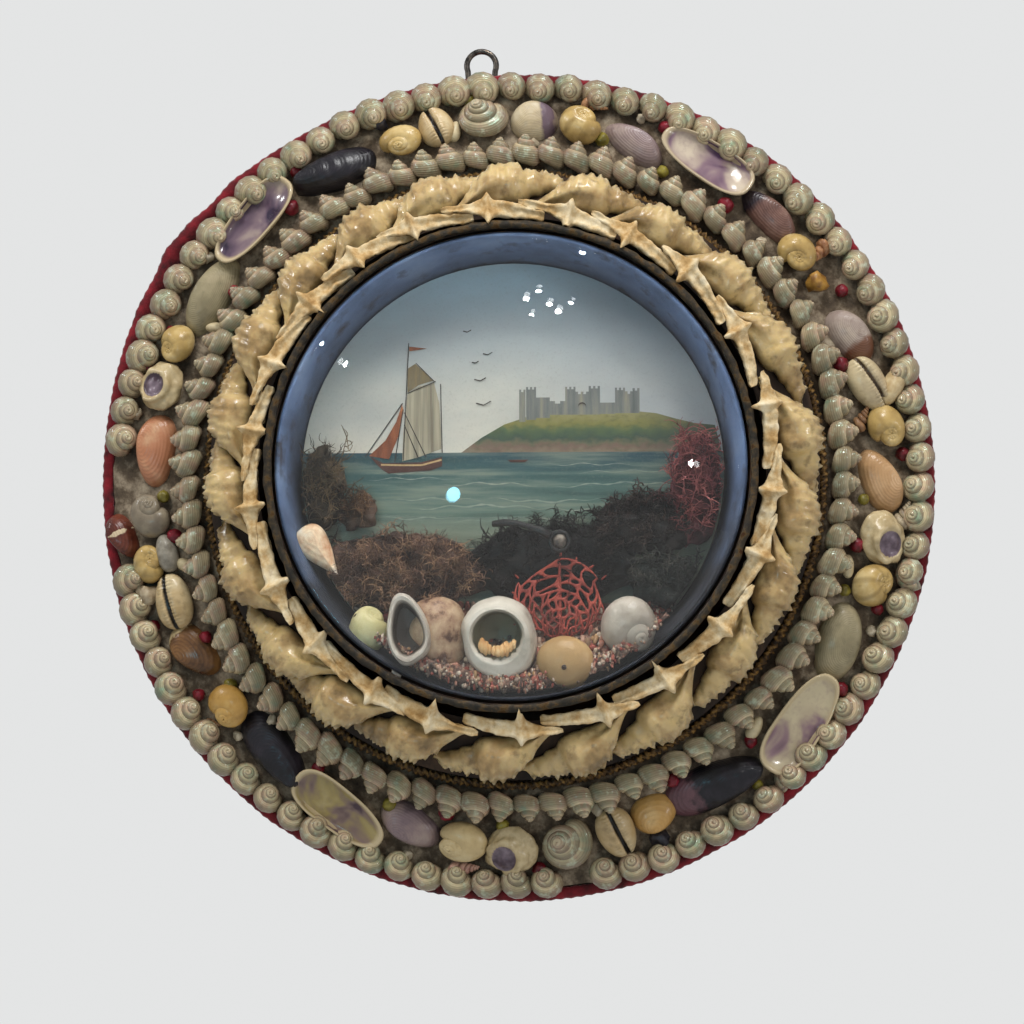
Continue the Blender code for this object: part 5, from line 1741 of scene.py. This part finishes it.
def addEgg():
    egg = bmesh.new()
    bmesh.ops.create_uvsphere(egg, u_segments=40, v_segments=26, radius=1.0)
    bmesh.ops.scale(egg, vec=(8.8 * mm, 5.8 * mm, 7.6 * mm), verts=egg.verts)
    ruffle(egg, 9 * mm, 0.5 * mm)
    bmesh.ops.translate(egg, vec=Vector((17.0, -46.2, -61.0)) * mm, verts=egg.verts)
    finishPiece(
        "eggShell", egg,
        insideMaterial("eggShell", [(0.3, "8f7248"), (0.55, "a58558"), (0.7, "b59a6c")], 0.4, 60),
        ["egg_shell"],
    )
    # painted shadow: a small dark ball stands for the shade inside the egg's hole
    hole = bmesh.new()
    place = facing(*insidePlaces["eggHoleShadow"])
    bmesh.ops.create_uvsphere(hole, u_segments=12, v_segments=8, radius=0.85 * mm, matrix=place)
    finishPiece(
        "eggHoleShadow", hole, insideMaterial("eggHoleShadow", [(0.3, "241812"), (0.7, "3a281c")])
    )


def addTurban():
    turban = coiledForm("snail", 17.2 * mm, 17.6 * mm, 13 * mm, 40, 35)
    bmesh.ops.transform(turban, matrix=facing(*insidePlaces["greyTurban"]), verts=turban.verts)
    milky = [(0.3, "857c70"), (0.55, "a89f92"), (0.75, "bdb5a8")]
    finishPiece(
        "greyTurban", turban, insideMaterial("greyTurban", milky, 0.3, 110),
        ["inner_turban"],
    )


def addPeriwinkle():
    sallowForm = coiledForm("periwinkle", 12.4 * mm, 14.6 * mm, 10 * mm, 55, 150)
    bmesh.ops.transform(sallowForm, matrix=facing(*insidePlaces["sallowPeriwinkle"]), verts=sallowForm.verts)
    sallow = [(0.3, "a39a62"), (0.55, "c3b987"), (0.75, "d5cda6")]
    finishPiece(
        "sallowPeriwinkle", sallowForm, insideMaterial("sallow", sallow, 0.35, 70),
        ["inner_yellow_shell"],
    )


def addShard():
    shard = valveForm(19 * mm, 8.4 * mm, 2.6 * mm, (-0.3, 0.1), 0.02, taper=-0.85)
    bmesh.ops.transform(shard, matrix=facing(*insidePlaces["orangeShard"]), verts=shard.verts)
    finishPiece(
        "orangeShard", shard,
        insideMaterial("orangeShard", [(0.3, "b56f3c"), (0.5, "e3c8a6"), (0.7, "efe6d8")]),
    )


# The twig's route and the loop at its end in millimetres, across and up, and the pebble in the loop
blackTwig = {
    "route": [(-5.6, -18.4), (-2.0, -17.9), (2.2, -18.3), (6.0, -19.4), (9.6, -20.8), (12.4, -22.2)],
    "radii": [1.0 * mm, 1.2 * mm, 0.9 * mm, 0.95 * mm, 1.3 * mm, 1.5 * mm],
    "loop": (15.3, -23.9),
    "loopRadius": 3.0,
    "loopThickness": 0.65 * mm,
    "pebble": 2.3 * mm,
}


def addTwig():
    form = bmesh.new()
    path = [Vector((across, -45.2 - 0.2 * i, up)) * mm for i, (across, up) in enumerate(blackTwig["route"])]
    tube(form, path, blackTwig["radii"], 7)
    across, up = blackTwig["loop"]
    reach = blackTwig["loopRadius"]
    angles = [i * math.pi / 10 for i in range(21)]
    loop = [Vector((across + reach * math.cos(a), -46.2, up + reach * math.sin(a))) * mm for a in angles]
    tube(form, loop, [blackTwig["loopThickness"]] * len(loop), 6, closed=False)
    ruffle(form, 1.5 * mm, 0.35 * mm)
    bark = insideMaterial("blackTwig", [(0.3, "080706"), (0.7, "1d1815")], 0.5)
    finishPiece("blackTwig", form, bark)
    stone = bmesh.new()
    bmesh.ops.create_uvsphere(stone, u_segments=20, v_segments=12, radius=blackTwig["pebble"])
    bmesh.ops.scale(stone, vec=(1, 0.45, 1), verts=stone.verts)
    bmesh.ops.translate(stone, vec=(across * mm, -45.8 * mm, up * mm), verts=stone.verts)
    ruffle(stone, 1.2 * mm, 0.25 * mm)
    finishPiece(
        "roundPebble", stone,
        insideMaterial("roundPebble", [(0.4, "2a211b"), (0.5, "5f544a"), (0.62, "8f8579")], 0.5, 260),
    )


# Small fillers between the larger shells: clock, radius in mm, and kind

fillers = [
    (12.2, 127.7, "brownTurret"), (14.6, 116.4, "oliveSeed"), (19.4, 128.0, "paleChip"),
    (35.6, 129.2, "paleChip"), (23.3, 127.7, "redSeed"), (53.7, 124.3, "brownTurret"),
    (57.5, 117.6, "amberChip"), (80.9, 114.7, "brownCone"), (86.9, 126.9, "redSeed"),
    (95.9, 127.2, "stripedTurret"), (94.2, 113.7, "oliveSeed"), (101.8, 113.2, "redSeed"),
    (105.6, 111.7, "slug"), (109.5, 113.2, "oliveSeed"), (110.4, 125.4, "redSeed"),
    (113.8, 126.2, "paleChip"), (138.6, 114.8, "redSeed"), (136.7, 112.4, "slug"),
    (158.3, 126.1, "blackChip"), (176.4, 127.3, "redSeed"), (187.4, 127.9, "pinkTurret"),
    (181.9, 112.9, "oliveSeed"), (195.7, 127.5, "paleChip"), (200.6, 113.7, "oliveSeed"),
    (213.8, 113.8, "redSeed"), (226.8, 123.6, "paleChip"), (230.7, 127.6, "brownCone"),
    (233.6, 114.7, "oliveSeed"), (235.4, 125.5, "redSeed"), (242.5, 113.6, "redSeed"),
    (253.9, 129.0, "stripedTurret"), (260.1, 113.2, "redSeed"), (266.9, 115.9, "oliveSeed"),
    (279.9, 127.9, "paleChip"), (293.3, 124.7, "redSeed"), (306.1, 126.9, "paleChip"),
    (320.6, 117.3, "redSeed"), (339.4, 128.1, "blackChip"), (350.3, 117.9, "slug"),
    (38.0, 113.5, "redSeed"), (60.5, 124.0, "redSeed"), (26.0, 112.6, "oliveSeed"),
    (71.5, 112.5, "redSeed"), (123.5, 126.0, "redSeed"), (142.0, 127.0, "oliveSeed"),
    (152.8, 110.8, "redSeed"), (166.0, 111.0, "paleChip"), (191.2, 111.0, "redSeed"),
    (224.7, 111.6, "paleChip"), (247.7, 128.5, "redSeed"), (254.7, 110.9, "slug"),
    (276.7, 111.2, "oliveSeed"), (287.5, 128.0, "redSeed"), (296.7, 111.0, "slug"),
    (303.7, 111.5, "redSeed"), (334.7, 111.6, "paleChip"), (324.7, 127.0, "redSeed"),
    (353.2, 128.6, "oliveSeed"), (3.5, 111.5, "paleChip"), (46.5, 112.0, "paleChip"),
    (76.9, 126.6, "bean"), (257.6, 116.3, "nerite"), (252.2, 126.4, "openChip"),
]
# Shape, size in mm and two colours of each kind
fillerKinds = {
    "redSeed": ("seed", 4.8, ("4a0a12", "85182a")),
    "oliveSeed": ("seed", 4.2, ("5d531c", "8f8433")),
    "paleChip": ("chip", 4.0, ("9a8e78", "bfb39c")),
    "amberChip": ("chip", 6.5, ("7a5426", "b5893f")),
    "blackChip": ("chip", 5.4, ("14131a", "35333c")),
    "slug": ("cowrie", 7.2, ("b3a382", "cdbf9c")),
    "bean": ("cowrie", 12.6, ("b09870", "c9b892")),
    "nerite": ("cowrie", 11.6, ("6d675c", "969084")),
    "openChip": ("chip", 7.4, ("8d7c64", "b9ab90")),
    "brownTurret": ("turret", 10.5, ("6d4128", "b98a62")),
    "stripedTurret": ("turret", 9.0, ("6a5a4c", "b3a58a")),
    "pinkTurret": ("turret", 11.0, ("94675e", "bf9884")),
    "brownCone": ("turret", 8.0, ("5a3c2b", "94704f")),
}


def fillerForm(shape, size):
    if shape == "turret":
        return coiledForm("turret", size * 0.55, size, size * 0.5, 80, 0)
    if shape == "cowrie":
        return cowrieForm(size, size * (0.55 if size < 11.8 * mm else 0.5), size * 0.5)
    form = bmesh.new()
    bmesh.ops.create_icosphere(form, subdivisions=3 if shape == "seed" else 2, radius=size / 2)
    ruffle(form, size * 0.25, size * (0.10 if shape == "seed" else 0.28))
    bmesh.ops.translate(form, vec=(0, 0, size * 0.35), verts=form.verts)
    return form


def addFillers():
    for name, (shape, size, colours) in fillerKinds.items():
        mesh = template(fillerForm(shape, size * mm))
        form = bmesh.new()
        for clock, radius, kind in fillers:
            if kind != name:
                continue
            turn = Matrix.Rotation(dice.uniform(0, 6.28), 4, "Z")
            place = clockPlace(clock, radius * mm, bedFront(radius * mm) + 0.4 * mm, bedLean)
            stamp(form, mesh, place @ turn @ Matrix.Scale(dice.uniform(0.85, 1.15), 4))
        material, tree, shader = newMaterial(name, 0.4, {"Coat Weight": 0.2})
        body = rampOf(tree, noiseOf(tree, 330, 4), [(0.35, colours[0]), (0.65, colours[1])])
        colourFrom(tree, shader, body)
        bumpOn(tree, shader, noiseOf(tree, 1300, 3), 0.00015, 0.6)
        finishPiece(name + "s", form, material, outward=False)


# The braid lies between the inner row and the spiny shells; twists is how often its strands cross
braid = {"radius": 100.4 * mm, "depth": 22.4 * mm, "strand": 1.5 * mm, "twists": 150}


def addBraid():
    def place(u, v):
        clock = 360 * v
        angle = 2 * math.pi * u + braid["twists"] * 2 * math.pi * v
        girth = braid["strand"] * (0.75 + 0.3 * math.cos(2 * 2 * math.pi * u))
        return onClock(
            clock, braid["radius"] + girth * math.cos(angle), braid["depth"] + girth * math.sin(angle)
        )

    form = wrappedGrid(8, 1500, place)
    ruffle(form, 1.6 * mm, 0.5 * mm)
    material, tree, shader = newMaterial("goldBraid", 0.7)
    body = rampOf(tree, noiseOf(tree, 700, 4), [(0.35, "2a1d10"), (0.5, "5c4322"), (0.65, "8d6c36")])
    colourFrom(tree, shader, body)
    bumpOn(tree, shader, noiseOf(tree, 1500, 3), 0.0002, 0.6)
    finishPiece("goldBraid", form, material)


# The wire's radius, and how much wider each way and how much higher the loop stands than in the solids
hangingWire = {"radius": 1.0 * mm, "wider": 0.5 * mm, "higher": 2.2 * mm, "steps": 18}


def addLoop():
    low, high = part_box("hanging_loop")
    wire = hangingWire["radius"]
    middle, half = (low.x + high.x) / 2, (high.x - low.x) / 2 - wire
    depth = -(low.y + high.y) / 2
    half += hangingWire["wider"]
    top = high.z + hangingWire["higher"] - wire - half
    level = (low.z + top) / 2
    path = [Vector((middle - half * 0.8, -depth, low.z)), Vector((middle - half * 0.85, -depth, level))]
    steps = hangingWire["steps"]
    for i in range(steps + 1):
        angle = math.pi * (1.12 - 1.24 * i / steps)
        path.append(Vector((middle + half * math.cos(angle), -depth, top + half * math.sin(angle))))
    path += [Vector((middle + half * 0.85, -depth, level)), Vector((middle + half * 0.8, -depth, low.z))]
    form = bmesh.new()
    tube(form, path, [wire] * len(path), 10)
    material, tree, shader = newMaterial("darkWire", 0.4, {"Metallic": 1.0})
    body = rampOf(tree, noiseOf(tree, 600, 4), [(0.35, "3d3a38"), (0.55, "6f6a65"), (0.75, "8b7a68")])
    colourFrom(tree, shader, body)
    bumpOn(tree, shader, noiseOf(tree, 1200, 3), 0.0001, 0.5)
    finishPiece("wireLoop", form, material, ["hanging_loop"])


makeCamera()
makeStudio()
addBoard()
addCloth()
addBed()
addDrum()
addLining()
addGlass()
addBezel()
stageNote("turned pieces")
pearly = pearlyMaterial()
addRows(pearly)
stageNote("rows of top shells")
addSpinyRing()
stageNote("spiny shells")
materials = {name: shellMaterial(name) for name in shellFinishes}
materials.update({name: mouthMaterial(name) for name in mouthFinishes})
materials.update({name: nacreMaterial(name) for name in nacreFinishes})
materials["pearly"] = pearly
addBand(materials)
addFillers()
addBraid()
addLoop()
addPainting()
addWeeds()
addSeaBed()
addCoral()
addMoonShell()
addWhelk()
addEgg()
addTurban()
addPeriwinkle()
addShard()
addTwig()
stageNote("sea bed, coral, shells and twig")
